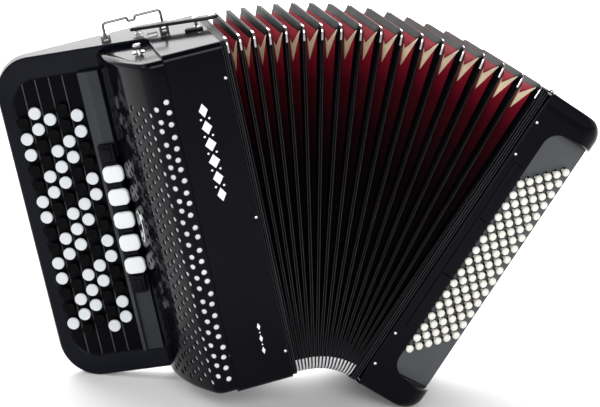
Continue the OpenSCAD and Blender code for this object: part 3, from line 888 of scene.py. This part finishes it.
def bellows_path(deep_top, deep_low):
    """Pairs of outer edge and valley points (y, w), round the bellows from the front foot."""
    path = []

    def side(a, b, c, d, steps):
        for k in range(steps + 1):
            t = k / steps
            path.append(((a[0] + (b[0] - a[0]) * t, a[1] + (b[1] - a[1]) * t),
                         (c[0] + (d[0] - c[0]) * t, c[1] + (d[1] - c[1]) * t)))

    def corner(centre, inner, start):
        for k in range(1, 4):
            angle = math.radians(start + 22.5 * k)
            out = (math.cos(angle), math.sin(angle))
            path.append(((centre[0] + o * out[0], centre[1] + o * out[1]),
                         (inner[0] + i * out[0], inner[1] + i * out[1])))

    h, i, o = FOLD_HALF, VALLEY_R, CORNER_R
    y0, y1 = -h + deep_top, h - deep_top
    low, high = deep_low, BODY_H - deep_top
    side((-h + o, 0), (h - o, 0), (y0 + i, low), (y1 - i, low), 8)
    corner((h - o, o), (y1 - i, low + i), -90)
    side((h, o), (h, BODY_H - o), (y1, low + i), (y1, high - i), 24)
    corner((h - o, BODY_H - o), (y1 - i, high - i), 0)
    side((h - o, BODY_H), (-h + o, BODY_H), (y1 - i, high), (y0 + i, high), 12)
    corner((-h + o, BODY_H - o), (y0 + i, high - i), 90)
    side((-h, BODY_H - o), (-h, o), (y0, high - i), (y0, low + i), 24)
    corner((-h + o, o), (y0 + i, low + i), 180)
    return path


def gap_width(i, w):
    """Clear distance between folds i - 1 and i at height w."""
    a, b = fold_place(i - 1), fold_place(i)
    return ((b @ Vector((0, 0, w))) - (a @ Vector((0, 0, w)))).length / MM


def bellows_gap(i):
    """Cloth valley between folds i - 1 and i: taped shoulders, red cloth and leather gussets."""
    a, b = fold_place(i - 1), fold_place(i)
    top_gap = gap_width(i, BODY_H)
    deep_top = math.sqrt(STRIP ** 2 - (top_gap / 2) ** 2) - 0.6
    deep_low = STRIP - 1.5
    path = bellows_path(deep_top, deep_low)
    shares = [0.0, 0.14, 0.28, TAPE_SHARE, TAPE_SHARE + 0.02, 0.6, 0.76, 0.92, 1.0]
    rings = []
    n = len(shares)
    for outer, inner in path:
        left = a @ Vector((NOSE - 0.25, *outer))
        right = b @ Vector((-NOSE + 0.25, *outer))
        valley = (a @ Vector((0, *inner)) + b @ Vector((0, *inner))) / 2
        out = ((left + right) / 2 - valley)
        out = out.normalized() if out.length else Vector((0, 0, 1))
        flank = [left.lerp(valley, f) for f in shares] + [
            right.lerp(valley, f) for f in reversed(shares[:-1])]
        full = min(1.0, (left - right).length / MM / 6)
        for k, f in enumerate(shares[:-1] + list(reversed(shares))):
            swell = math.sin(math.pi * f) * 0.35 + (0.3 if f <= TAPE_SHARE else 0.0)
            flank[k] = flank[k] + out * swell * full * MM
        ring = flank + [p - out * 0.7 * MM for p in reversed(flank)]
        rings.append(ring)
    solid = Solid()
    solid.rings(rings, close=True)
    width = len(rings[0])
    paint = []
    flank_faces = 2 * (n - 1)
    for _ in range(len(path)):
        for k in range(width):
            share = k if k < n - 1 else 2 * n - 3 - k
            paint.append(0 if k < flank_faces and share < 4 else 1)
    solid.paint = paint
    # gussets: a thin folded leather chevron at each corner, front and back
    for corner_y, up in ((-1, 1), (1, 1), (-1, -1), (1, -1)):
        big = up > 0
        deep = deep_top if big else deep_low
        edge_w = BODY_H if big else 0.0
        y_out, y_in = corner_y * FOLD_HALF, corner_y * (FOLD_HALF - deep)
        half_way = BODY_H / 2
        outward = (a @ Vector((0, y_out, half_way)) - a @ Vector((0, 0, half_way))).normalized()
        lift = outward * (0.9 if big else 0.5) * MM
        reach = 20.0 if big else 8.0
        for place, nose_u, tip_share, drop in ((a, NOSE, 0.46, 9.0), (b, -NOSE, 0.26, 0.0)):

            def spot(share, w):
                outer_p = place @ Vector((nose_u, y_out, w))
                inner_p = (a @ Vector((0, y_in, w)) + b @ Vector((0, y_in, w))) / 2
                return outer_p.lerp(inner_p, share)

            top_w = edge_w - up * (deep + 2)
            tip = spot(tip_share, edge_w - up * ((6 if big else 5) + drop * (1 if big else 0.3)))
            high = spot(0.99, top_w)
            low = spot(0.99, top_w - up * reach)
            middle = tip.lerp(low, 0.5) + lift * 0.6
            face = [tip + lift, low + lift, high + lift, middle + lift * 0.3]
            under = [p - lift * 1.6 for p in (tip, low, high)]
            solid.add(face + under, [[0, 1, 3], [1, 2, 3], [2, 0, 3], [4, 6, 5], [0, 4, 5, 1],
                                     [1, 5, 6, 2], [2, 6, 4, 0]], 2)
    mesh = solid.mesh(f"bellows_cloth_{i:02d}", Matrix.Identity(4))
    made = bpy.data.objects.new(f"bellows_cloth_{i:02d}", mesh)
    bpy.context.scene.collection.objects.link(made)
    for paint_of in (tape_black, red_cloth_painted_shade, gusset_hide):
        mesh.materials.append(paint_of)
    mesh.shade_smooth()
    mesh.set_sharp_from_angle(angle=math.radians(30))
    # how far up the instrument each point is, which sets the cloth's painted shade
    middle = (a @ Vector((0, 0, 0)) + b @ Vector((0, 0, 0))) / 2
    up_way = ((a @ Vector((0, 0, 1)) + b @ Vector((0, 0, 1))) / 2 - middle).normalized()
    rise = mesh.attributes.new("rise", "FLOAT", "POINT")
    rise.data.foreach_set("value", [(v.co - middle).dot(up_way) / MM / BODY_H
                                    for v in mesh.vertices])
    reach = gap_width(i, 0.62 * BODY_H) / 2
    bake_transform(made)
    return made


def edge_section(half, depth):
    """Cross-section (u, depth) of the tape or metal that wraps a fold's edge."""
    return [(-half, depth), (-half, 0.9), (-half * 0.86, 0.35), (-half * 0.55, 0.06),
            (0, 0.0), (half * 0.55, 0.06), (half * 0.86, 0.35), (half, 0.9), (half, depth),
            (half - 0.5, depth), (-half + 0.5, depth)]


def corner_path(y_side, up, along_side, along_end):
    """Part of the fold's edge round one corner, from the front or back face to the end face."""
    centre_w = BODY_H - CORNER_R if up > 0 else CORNER_R
    path = [((y_side * FOLD_HALF, centre_w - up * along_side), (y_side, 0)),
            ((y_side * FOLD_HALF, centre_w - up * along_side * 0.4), (y_side, 0))]
    for k in range(9):
        angle = math.radians(90 * k / 8)
        out = (y_side * math.cos(angle), up * math.sin(angle))
        path.append(((y_side * (FOLD_HALF - CORNER_R) + CORNER_R * out[0],
                      centre_w + CORNER_R * out[1]), out))
    edge_w = BODY_H if up > 0 else 0.0
    path.append(((y_side * (FOLD_HALF - CORNER_R - along_end), edge_w), (0, up)))
    return path


def edge_strip(solid, path, section, paint, close=False):
    """Sweeps a fold-edge section along a path of (point, outward) pairs."""
    rings = []
    for (y, w), (oy, ow) in path:
        rings.append([(u, y - oy * d, w - ow * d) for u, d in section])
    solid.rings(rings, paint, close=close)


def whole_edge_path():
    """The fold's whole outer edge with outward directions."""
    path = []
    for centre, start in (((FOLD_HALF - CORNER_R, CORNER_R), -90),
                          ((FOLD_HALF - CORNER_R, BODY_H - CORNER_R), 0),
                          ((-FOLD_HALF + CORNER_R, BODY_H - CORNER_R), 90),
                          ((-FOLD_HALF + CORNER_R, CORNER_R), 180)):
        for k in range(7):
            angle = math.radians(start + 15 * k)
            out = (math.cos(angle), math.sin(angle))
            path.append(((centre[0] + CORNER_R * out[0], centre[1] + CORNER_R * out[1]), out))
    return path


def fold_edge(i):
    """Taped edge of fold i with its four metal corners."""
    solid = Solid()
    edge_strip(solid, whole_edge_path(), edge_section(NOSE - 0.12, 3.6), 0, close=True)
    # Two fine beads along the tape's edges in the grey bead finish: a painted highlight where the
    # black embossed tape catches light.
    for u in (-NOSE + 0.2, NOSE - 0.2):
        solid.tube([(u, y - oy * 0.38, w - ow * 0.38) for (y, w), (oy, ow) in
                    whole_edge_path()], 0.26, 6, 2, close=True)
    for y_side in (-1, 1):
        for up in (-1, 1):
            path = [((y + oy * 0.08, w), (oy, ow)) for (y, w), (oy, ow) in
                    corner_path(y_side, up, 9.0, 6.0)]
            edge_strip(solid, path, edge_section(NOSE + 0.03, 5.2), 1)
    if i == 0:
        body, stands = "treble", []
    elif i == LAST:
        body, stands = "bass", []
    else:
        body, stands = f"fold_{i:02d}", [f"fold_{i:02d}"]
    piece(f"fold_edge_{i:02d}", solid, fold_place(i), body, [tape_black, chrome, stripe_and_highlight_grey], stands,
          sharp=50)


def bellows_frame(name, body, place, x0, x1, lines):
    """End frame of the bellows, with fine grey beads round it."""
    solid = Solid()
    wooden_ring(solid, x0, x1, 21.0, 8.0, -FOLD_HALF - 4, FOLD_HALF + 4, 0.0, BODY_H - 1)
    for x in lines:
        path = [(x, y, z) for y, z in
                rounded_outline(-FOLD_HALF - 4.1, FOLD_HALF + 4.1, -0.1, BODY_H - 0.9, 8, 8)]
        solid.tube(path, 0.3, 8, 1, close=True)
    piece(name + "_tape", solid, place, body, [tape_black, stripe_and_highlight_grey], [name],
          sharp=40)


# ---------------------------------------------------------------- bass half
def bass_x(row):
    return -31.6 + 10.55 * row


def bass_z(row, k):
    return 67.7 + 15.6 * k + 7.96 * row


def bass_casing():
    """Rounded body with the opening for the button board cut through its front and outer side."""
    solid = Solid()
    outer_profile = rounded_outline(BASS_X0, BASS_X1, FRONT, BACK, (2, 30, 8, 2), 10)
    end_r = 22.0
    steps = 8
    rings = []

    def at(depth, z):
        return [(x, y, z) for x, y in inset(outer_profile, depth)]

    def squeezed(turn, z):
        """The outline drawn in towards the bellows frame as the end rounds over."""
        pull = end_r * (1 - math.cos(turn))
        soft = 6.0 * (1 - math.cos(turn))
        ring = []
        for x, y in inset(outer_profile, soft):
            t = (x - BASS_X0) / (BASS_X1 - BASS_X0)
            ring.append((x - (pull - soft) * t ** 1.6, y, z))
        return ring

    for k in range(steps + 1):
        turn = math.pi / 2 * (1 - k / steps)
        rings.append(squeezed(turn, 0.95 + (end_r - 0.95) * (1 - math.sin(turn))))
    for k in range(steps + 1):
        turn = math.pi / 2 * k / steps
        rings.append(squeezed(turn, BODY_H - end_r * (1 - math.sin(turn))))
    solid.rings(rings)
    made = piece("bass_shell", solid, BASS, "bass", [gloss, painted_shade_black], ["bass_casing"],
                 sharp=40)
    # the opening, wider at the top and bottom where its cheeks round over
    cutter = Solid()
    wall_r = 20.0
    outline = counterclockwise([(90, 34), (90, 376)] + arc((-17, 356), wall_r, 90, 180, 10)
                               + arc((-17, 54), wall_r, 180, 270, 10))
    levels = [(0.0, 1.9), (0.0, -10), (-1.2, -16), (-4.0, -22), (-9.0, -28), (-9.0, -70)]
    cutter.rings([[(x, h, z) for x, z in inset(outline, d)] for d, h in levels])
    tool = bpy.data.objects.new("opening_cutter", cutter.mesh("opening_cutter", BASS @ BOARD))
    bpy.context.scene.collection.objects.link(tool)
    cut = made.modifiers.new("opening", "BOOLEAN")
    cut.operation = "DIFFERENCE"
    cut.object = tool
    cut.solver = "EXACT"
    dg = bpy.context.evaluated_depsgraph_get()
    result = bpy.data.meshes.new_from_object(made.evaluated_get(dg))
    made.modifiers.clear()
    made.data = result
    made.data.shade_smooth()
    made.data.set_sharp_from_angle(angle=math.radians(34))
    bpy.data.objects.remove(tool)
    made.modifiers.new("even_shading", "WEIGHTED_NORMAL").keep_sharp = True


def bass_board():
    """Satin board with a round hole for every button."""
    outline = counterclockwise([(34, 34.4), (34, 375.6)] + arc((-17, 355.6), 19.6, 90, 180, 10)
                               + arc((-17, 54.4), 19.6, 180, 270, 10))
    holes = []
    for row in range(6):
        for k in range(16):
            holes.append([(bass_x(row) + x, bass_z(row, k) + z) for x, z in circle(4.95, 20)])
    flat, cells, border = plate(outline, holes)
    solid = Solid()

    def surface(s, w):
        return Vector((s, 0.2, w)), Vector((0, -1, 0))

    holed_sheet(solid, flat, cells, border, surface, 1.8)
    piece("bass_board_plate", solid, BASS @ BOARD, "bass", [board_grey], ["bass_button_board"],
          sharp=30)
    # A near-black sheet behind the board: painted shade seen through the holes round the buttons.
    shade_sheet = Solid()
    shade_sheet.block((-36, 2.3, 36), (34, 2.9, 374), 0.1)
    piece("bass_board_shade_sheet", shade_sheet, BASS @ BOARD, "bass", [painted_shade_black])


def bass_row(row):
    solid = Solid()
    top = 8.0
    for k in range(16):
        profile = [(2.0, -4.9), (2.0, top - 4.6), (4.3, top - 4.6), (4.75, top - 4.1),
                   (4.8, top - 2.4), (4.6, top - 1.6), (4.05, top - 0.9), (3.2, top - 0.4),
                   (2.0, top - 0.1), (0.7, top)]
        solid.lathe(profile, shift(bass_x(row), 0, bass_z(row, k)) @ spin(90, "X"), 24)
    name = f"bass_row_{row + 1}"
    piece(name + "_buttons", solid, BASS @ BOARD, name, [ivory], [name])


def bass_register(number):
    z = (89, 166, 243)[number - 1]
    solid = Solid()
    solid.block((20, FRONT - 2.5, z), (33, FRONT + 5.5, z + 76.4), 1.2)
    name = f"bass_register_{number}"
    piece(name + "_bar", solid, BASS, name, [gloss], [name],
          weighted=True)


def dashes(solid, route, gap, length, radius, paint, place=None):
    """Stitches along a route of points."""
    for k in range(len(route) - 1):
        a, b = Vector(route[k]), Vector(route[k + 1])
        span = (b - a).length
        count = max(1, int(span / gap))
        for n in range(count):
            mid = a.lerp(b, (n + 0.5) / count)
            half = (b - a).normalized() * length / 2
            solid.tube([mid - half, mid, mid + half], radius, 6, paint, place)


HAND_Y = (8.0, 74.0)
HAND_Z = (34.0, 377.0)
HAND_RISE = 26.0
HAND_T = 4.0


def hand_arc(y_share, z_share, depth=0.0):
    """Point of the bowed hand strap."""
    middle, half = sum(HAND_Z) / 2, (HAND_Z[1] - HAND_Z[0]) / 2
    radius = (half ** 2 + HAND_RISE ** 2) / (2 * HAND_RISE)
    centre = BASS_X1 + 0.3 + HAND_RISE - radius
    z = HAND_Z[0] + (HAND_Z[1] - HAND_Z[0]) * z_share
    rest = radius - depth
    x = centre + math.sqrt(max(0.0, rest ** 2 - (z - middle) ** 2))
    y = HAND_Y[0] + (HAND_Y[1] - HAND_Y[0]) * y_share
    return Vector((max(BASS_X1 + 0.3, x), y, z))


def bass_strap():
    """Leather hand strap, bowed out for the hand, with a padded middle and stitched edges."""
    solid = Solid()
    rows, across = 60, 14
    rings = []
    for k in range(rows + 1):
        t = k / rows
        pad = math.sin(math.pi * min(1, max(0, (t - 0.12) / 0.76))) ** 0.5 if 0.12 < t < 0.88 else 0
        waist = 0.06 * (1 - pad)
        ring = []
        for n in range(across + 1):
            f = n / across
            lift = 0.35 + 0.65 * math.sin(math.pi * f) ** 0.6 * pad
            p = hand_arc(waist + (1 - 2 * waist) * f, t, HAND_T * 0.5 * (1 - lift))
            ring.append(p)
        for n in range(across, -1, -1):
            f = n / across
            p = hand_arc(waist + (1 - 2 * waist) * f, t, HAND_T * (0.9 if 0 < n < across else 0.7))
            ring.append(p)
        rings.append(ring)
    solid.rings(rings)
    for f in (0.09, 0.91):
        route = [hand_arc(f, k / 24, HAND_T * 0.5 * 0.28) + Vector((0.15, 0, 0))
                 for k in range(1, 24)]
        dashes(solid, route, 4.2, 2.6, 0.32, 1)
    for z in (0.02, 0.98):
        for y in (0.3, 0.7):
            p = hand_arc(y, z)
            solid.lathe([(4.4, 0), (4.4, 0.6), (3.4, 1.5), (1.6, 2.0), (0.4, 2.1)], steps=20,
                        place=shift(p.x + 0.6, p.y, p.z) @ spin(90, "Y"), paint=2)
    made = piece("hand_strap", solid, BASS, "bass", [leather, thread, chrome], ["bass_strap"],
                 sharp=50)


def strap_wheel():
    """Small knurled thumb wheel that tightens the hand strap."""
    solid = Solid()
    base = BODY_H + 0.05
    solid.rings([knurled(r, base + rise, 24, 0.2) for r, rise in
                 ((6.2, 0), (6.8, 0.5), (6.8, 2.7), (6.0, 3.3))], place=WHEEL_PLACE)
    solid.lathe([(4.0, base + 3.1), (3.9, base + 3.7), (3.4, base + 3.95), (0.8, base + 4.0)],
                WHEEL_PLACE, 28)
    # A dark bar across the top stands for the slot: painted shade.
    solid.block((-3.0, -0.4, base + 3.6), (3.0, 0.4, base + 4.05), 0.1, 1,
                WHEEL_PLACE)
    piece("strap_wheel_knob", solid, BASS, "strap_wheel", [chrome, painted_shade_black],
          ["strap_wheel"])


def air_button():
    solid = Solid()
    profile = [(7.0, -9), (7.3, -8), (7.5, 0), (7.5, 2.4), (7.2, 3.3), (6.4, 3.9), (4.0, 3.75),
               (1.0, 3.6)]
    solid.lathe(profile, AIR_PLACE @ shift(0.2, 0, 0) @ spin(90, "Y"), 32)
    ring = [(8.1, -0.6), (9.6, -0.6), (9.6, 0.9), (9.1, 1.3), (8.3, 1.3), (8.1, 0.9)]
    piece("air_button_cap", solid, BASS, "air_button", [ivory], ["air_button"])
    collar = Solid()
    collar.rings([[(x, y, h) for x, y in circle(r, 32)] for r, h in ring], close=True,
                 place=AIR_PLACE @ spin(90, "Y"))
    piece("air_button_collar", collar, BASS, "bass", [chrome])


def bass_feet():
    solid = Solid()
    for y in (-44, 62):
        for z in (26, 385):
            place = shift(BASS_X1, y, z) @ spin(90, "Y")
            solid.lathe([(7.4, -4.0), (7.4, 0.6), (6.6, 1.2), (6.4, 1.2)], place, 28, 1)
            solid.lathe([(6.2, -3.0), (6.2, 2.6), (5.6, 3.9), (4.2, 4.7), (1.5, 5.0)], place, 28)
    piece("rubber_feet", solid, BASS, "bass", [rubber, chrome], ["bass_feet"])


def pin_heads(name, body, place, x, heights, stands_for):
    solid = Solid()
    for z in heights:
        solid.lathe([(1.75, -2.5), (1.75, 0.25), (1.45, 0.6), (0.8, 0.78), (0.3, 0.8)],
                    shift(x, FRONT, z) @ spin(90, "X"), 16)
        solid.lathe([(1.75, -2.5), (1.75, -0.02), (0.5, 0.0)],
                    shift(x, BACK, z) @ spin(-90, "X"), 16)
    piece(name, solid, place, body, [chrome], stands_for)


# ---------------------------------------------------------------- fittings on the treble half
def strap_bracket():
    """Bent wire that the shoulder straps hang on, with a dip to keep them apart."""
    x0, x1 = BRACKET_X
    base, dip, bend, small = BRACKET_AXIS_Z, -85.0, 4.0, 2.2
    z = base + BRACKET_RISE

    def turn(cx, cz, radius, start, end):
        return [(x, BRACKET_Y, w) for x, w in arc((cx, cz), radius, start, end, 8)]

    path = [(x0, BRACKET_Y, base)] + turn(x0 + bend, z - bend, bend, 180, 90)
    path += turn(dip - 3 * small, z - small, small, 90, 0)
    path += turn(dip - small, z - small, small, 180, 270)[1:]
    path += turn(dip + small, z - small, small, 270, 360)
    path += turn(dip + 3 * small, z - small, small, 180, 90)[1:]
    path += turn(x1 - bend, z - bend, bend, 90, 0) + [(x1, BRACKET_Y, base)]
    solid = Solid()
    solid.tube(path, 1.7, 14)
    for x in BRACKET_X:
        solid.tube([(x + side, BRACKET_Y, base) for side in (-5.4, 0, 5.4)], 1.72, 14)
        solid.tube([(x, BRACKET_Y, base + step) for step in (-2.2, 2.2)], 2.2, 14)
    piece("strap_bracket_wire", solid, TREBLE, "strap_bracket", [wire_steel], ["strap_bracket"])


def bracket_base():
    """Lugs that the wire swings in, on small screwed plates."""
    solid = Solid()
    for x, foot, height in ((BRACKET_X[0], TRAY_TOP, 7.4), (BRACKET_X[1], BODY_H, 9.4)):
        for side in (-1, 1):
            solid.block((x + side * 4 - 1.4, BRACKET_Y - 3.9, foot + 0.05),
                        (x + side * 4 + 1.4, BRACKET_Y + 3.9, foot + height), 0.6)
        solid.block((x - 5.6, BRACKET_Y - 3.9, foot + 0.05),
                    (x + 5.6, BRACKET_Y + 3.9, foot + 1.1), 0.4)
    piece("bracket_lugs", solid, TREBLE, "treble", [wire_steel], ["bracket_base"])


def strap_eye():
    solid = Solid()
    outline = rounded_outline(-8, 8, -8.2, 11.5, (7.9, 7.9, 1, 1), 8)
    hole = circle(4.0, 24)
    flat, cells, border = plate(outline, [hole])

    def surface(x, z):
        return Vector((-120 + x, 79.1, -7 + z)), Vector((0, -1, 0))

    holed_sheet(solid, flat, cells, border, surface, 2.8)
    solid.block((-132, 76.1, 3.0), (-108, 85.9, 4.9), 0.4)
    for x in (-128.5, -111.5):
        solid.lathe([(2.1, 0.0), (1.9, 0.6), (0.6, 0.9)],
                    shift(x, 81, 3.05) @ spin(180, "X"), 14)
    piece("lower_strap_plate", solid, TREBLE, "treble", [chrome], ["lower_strap_eye"],
          sharp=30)


def treble_fasteners():
    """Pins of the bellows frame, and the knurled screw that holds the grille."""
    pin_heads("treble_pin_heads", "treble", TREBLE, CASING_X1 - 3.5, (36, 203, 370),
              ["treble_fasteners"])
    solid = Solid()
    at = shift(*SCREW_AT, GRILLE_Z1)
    solid.lathe([(7.4, 0.05), (7.4, 0.9), (6.8, 1.45), (3.0, 1.5), (2.9, 3.6)], at, 32)
    solid.rings([knurled(r, z, 20, 0.22) for r, z in
                 ((4.3, 3.5), (4.7, 4.0), (4.7, 9.3), (4.0, 10.1))], place=at)
    solid.lathe([(3.3, 10.0), (2.9, 10.4), (0.5, 10.5)], at, 20)
    for reach, foot in zip(STRAP_POSTS, (TRAY_TOP, BODY_H)):
        solid.lathe([(2.9, foot + 0.05), (2.9, foot + 0.8), (1.9, foot + 1.4),
                     (1.9, STRAP_Z - 1.4), (2.9, STRAP_Z - 0.8), (2.9, STRAP_Z - 0.1)],
                    ON_TOP_STRAP @ shift(reach, STRAP_W / 2, 0), 20)
    piece("grille_screw_head", solid, TREBLE, "treble", [chrome])


def strap_band(solid, length, place, thick):
    """Stitched leather band with a pointed end and softened edges."""
    width = STRAP_W
    outline = [(0, 0.6), (0.6, 0), (length - 7, 0), (length - 1.5, width * 0.3),
               (length, width * 0.5), (length - 1.5, width * 0.7), (length - 7, width),
               (0.6, width), (0, width - 0.6)]
    soft = thick * 0.3
    solid.slab(outline, 0, thick, soft, soft, 0, place, 4)
    for y in (1.9, width - 1.9):
        dashes(solid, [(3, y, thick - 0.1), (length - 9, y, thick - 0.1)], 4.0, 2.4, 0.25, 1, place)


def bellows_straps():
    """The bellows straps, unbuttoned: one on its posts on top, one under the treble body."""
    solid = Solid()
    top = ON_TOP_STRAP @ shift(0, 0, STRAP_Z)
    strap_band(solid, 106, top, 4.0)
    for reach in (*STRAP_POSTS, 98):
        solid.lathe([(3.4, 3.6), (3.4, 4.0), (2.9, 4.7), (1.4, 5.3), (0.3, 5.4)],
                    top @ shift(reach, STRAP_W / 2, 0), 20, 2)
    low = shift(-70, 20, -4.1)
    strap_band(solid, 58, low, 4.0)
    for x in (8, 46):
        solid.lathe([(3.2, 0.3), (3.2, -0.1), (2.4, -0.7), (0.5, -0.9)],
                    low @ shift(x, STRAP_W / 2, 0), 20, 2)
    piece("bellows_strap_bands", solid, TREBLE, "treble", [leather, thread, chrome],
          ["bellows_straps"], sharp=45)
    # a small keeper and a snapped leather tab on the top of the casing
    keeper = Solid()
    tab_place = shift(-33, 3, BODY_H + 0.05) @ spin(-21, "Z")
    keeper.slab(rounded_outline(0, 21, 0, 8, (1, 3.6, 3.6, 1), 5), 0, 2.6, 0.5, 0.8, 0, tab_place, 3)
    keeper.lathe([(2.8, 2.2), (2.8, 2.9), (2.2, 3.6), (1.0, 4.0), (0.3, 4.05)],
                 tab_place @ shift(16.4, 4, 0), 20, 1)
    keeper.tube([(-73, 30, BODY_H - 1), (-73, 30, BODY_H + 2.2), (-61, 30, BODY_H + 2.2),
                 (-61, 30, BODY_H - 1)], 0.9, 8, 1)
    piece("top_snap_tab", keeper, TREBLE, "treble", [leather, chrome])


def bass_studs():
    """Studs on the top of the bass body that the bellows straps button onto."""
    solid = Solid()
    solid.lathe([(4.0, 0.0), (4.0, 1.0), (3.6, 2.2), (2.4, 3.1), (0.6, 3.45)],
                shift(34, -30, BODY_H), 24)
    solid.lathe([(3.0, 0.0), (3.0, 0.8), (2.4, 1.8), (0.6, 2.2)], shift(56, 80, BODY_H), 20)
    piece("strap_studs", solid, BASS, "bass", [chrome])


def inner_pieces():
    """Finishes for the pieces inside, which stay as the frame has them."""
    for name, paint in (("pallet_board", spruce), ("treble_reed_blocks", spruce),
                        ("bass_reed_blocks", spruce), ("valve_levers", steel)):
        data = frame["nodes"][name].data
        data.materials.clear()
        data.materials.append(paint)


camera()
studio()
treble_casing()
casing_inlay()
treble_grille()
grille_cloth()
badge()
keyboard_tray()
rail()
register_housing()
for tab in range(1, 6):
    register_tab(tab)
for row in range(5):
    treble_row(row)
for fold in range(LAST + 1):
    fold_edge(fold)
for gap in range(1, LAST + 1):
    bellows_gap(gap)
bellows_frame("treble_bellows_frame", "treble", TREBLE, CASING_X1, -2.0, (-7.2, -4.6, -2.4))
bellows_frame("bass_bellows_frame", "bass", BASS, 2.0, BASS_X0 - 0.3, (2.6, 5.6, 8.6))
bass_casing()
bass_board()
for row in range(6):
    bass_row(row)
for bar in range(1, 4):
    bass_register(bar)
bass_strap()
strap_wheel()
air_button()
bass_feet()
pin_heads("bass_pin_heads", "bass", BASS, BASS_X0 + 5, (32, 75, 328, 372), ["bass_pins"])
strap_bracket()
bracket_base()
strap_eye()
treble_fasteners()
bellows_straps()
bass_studs()
inner_pieces()
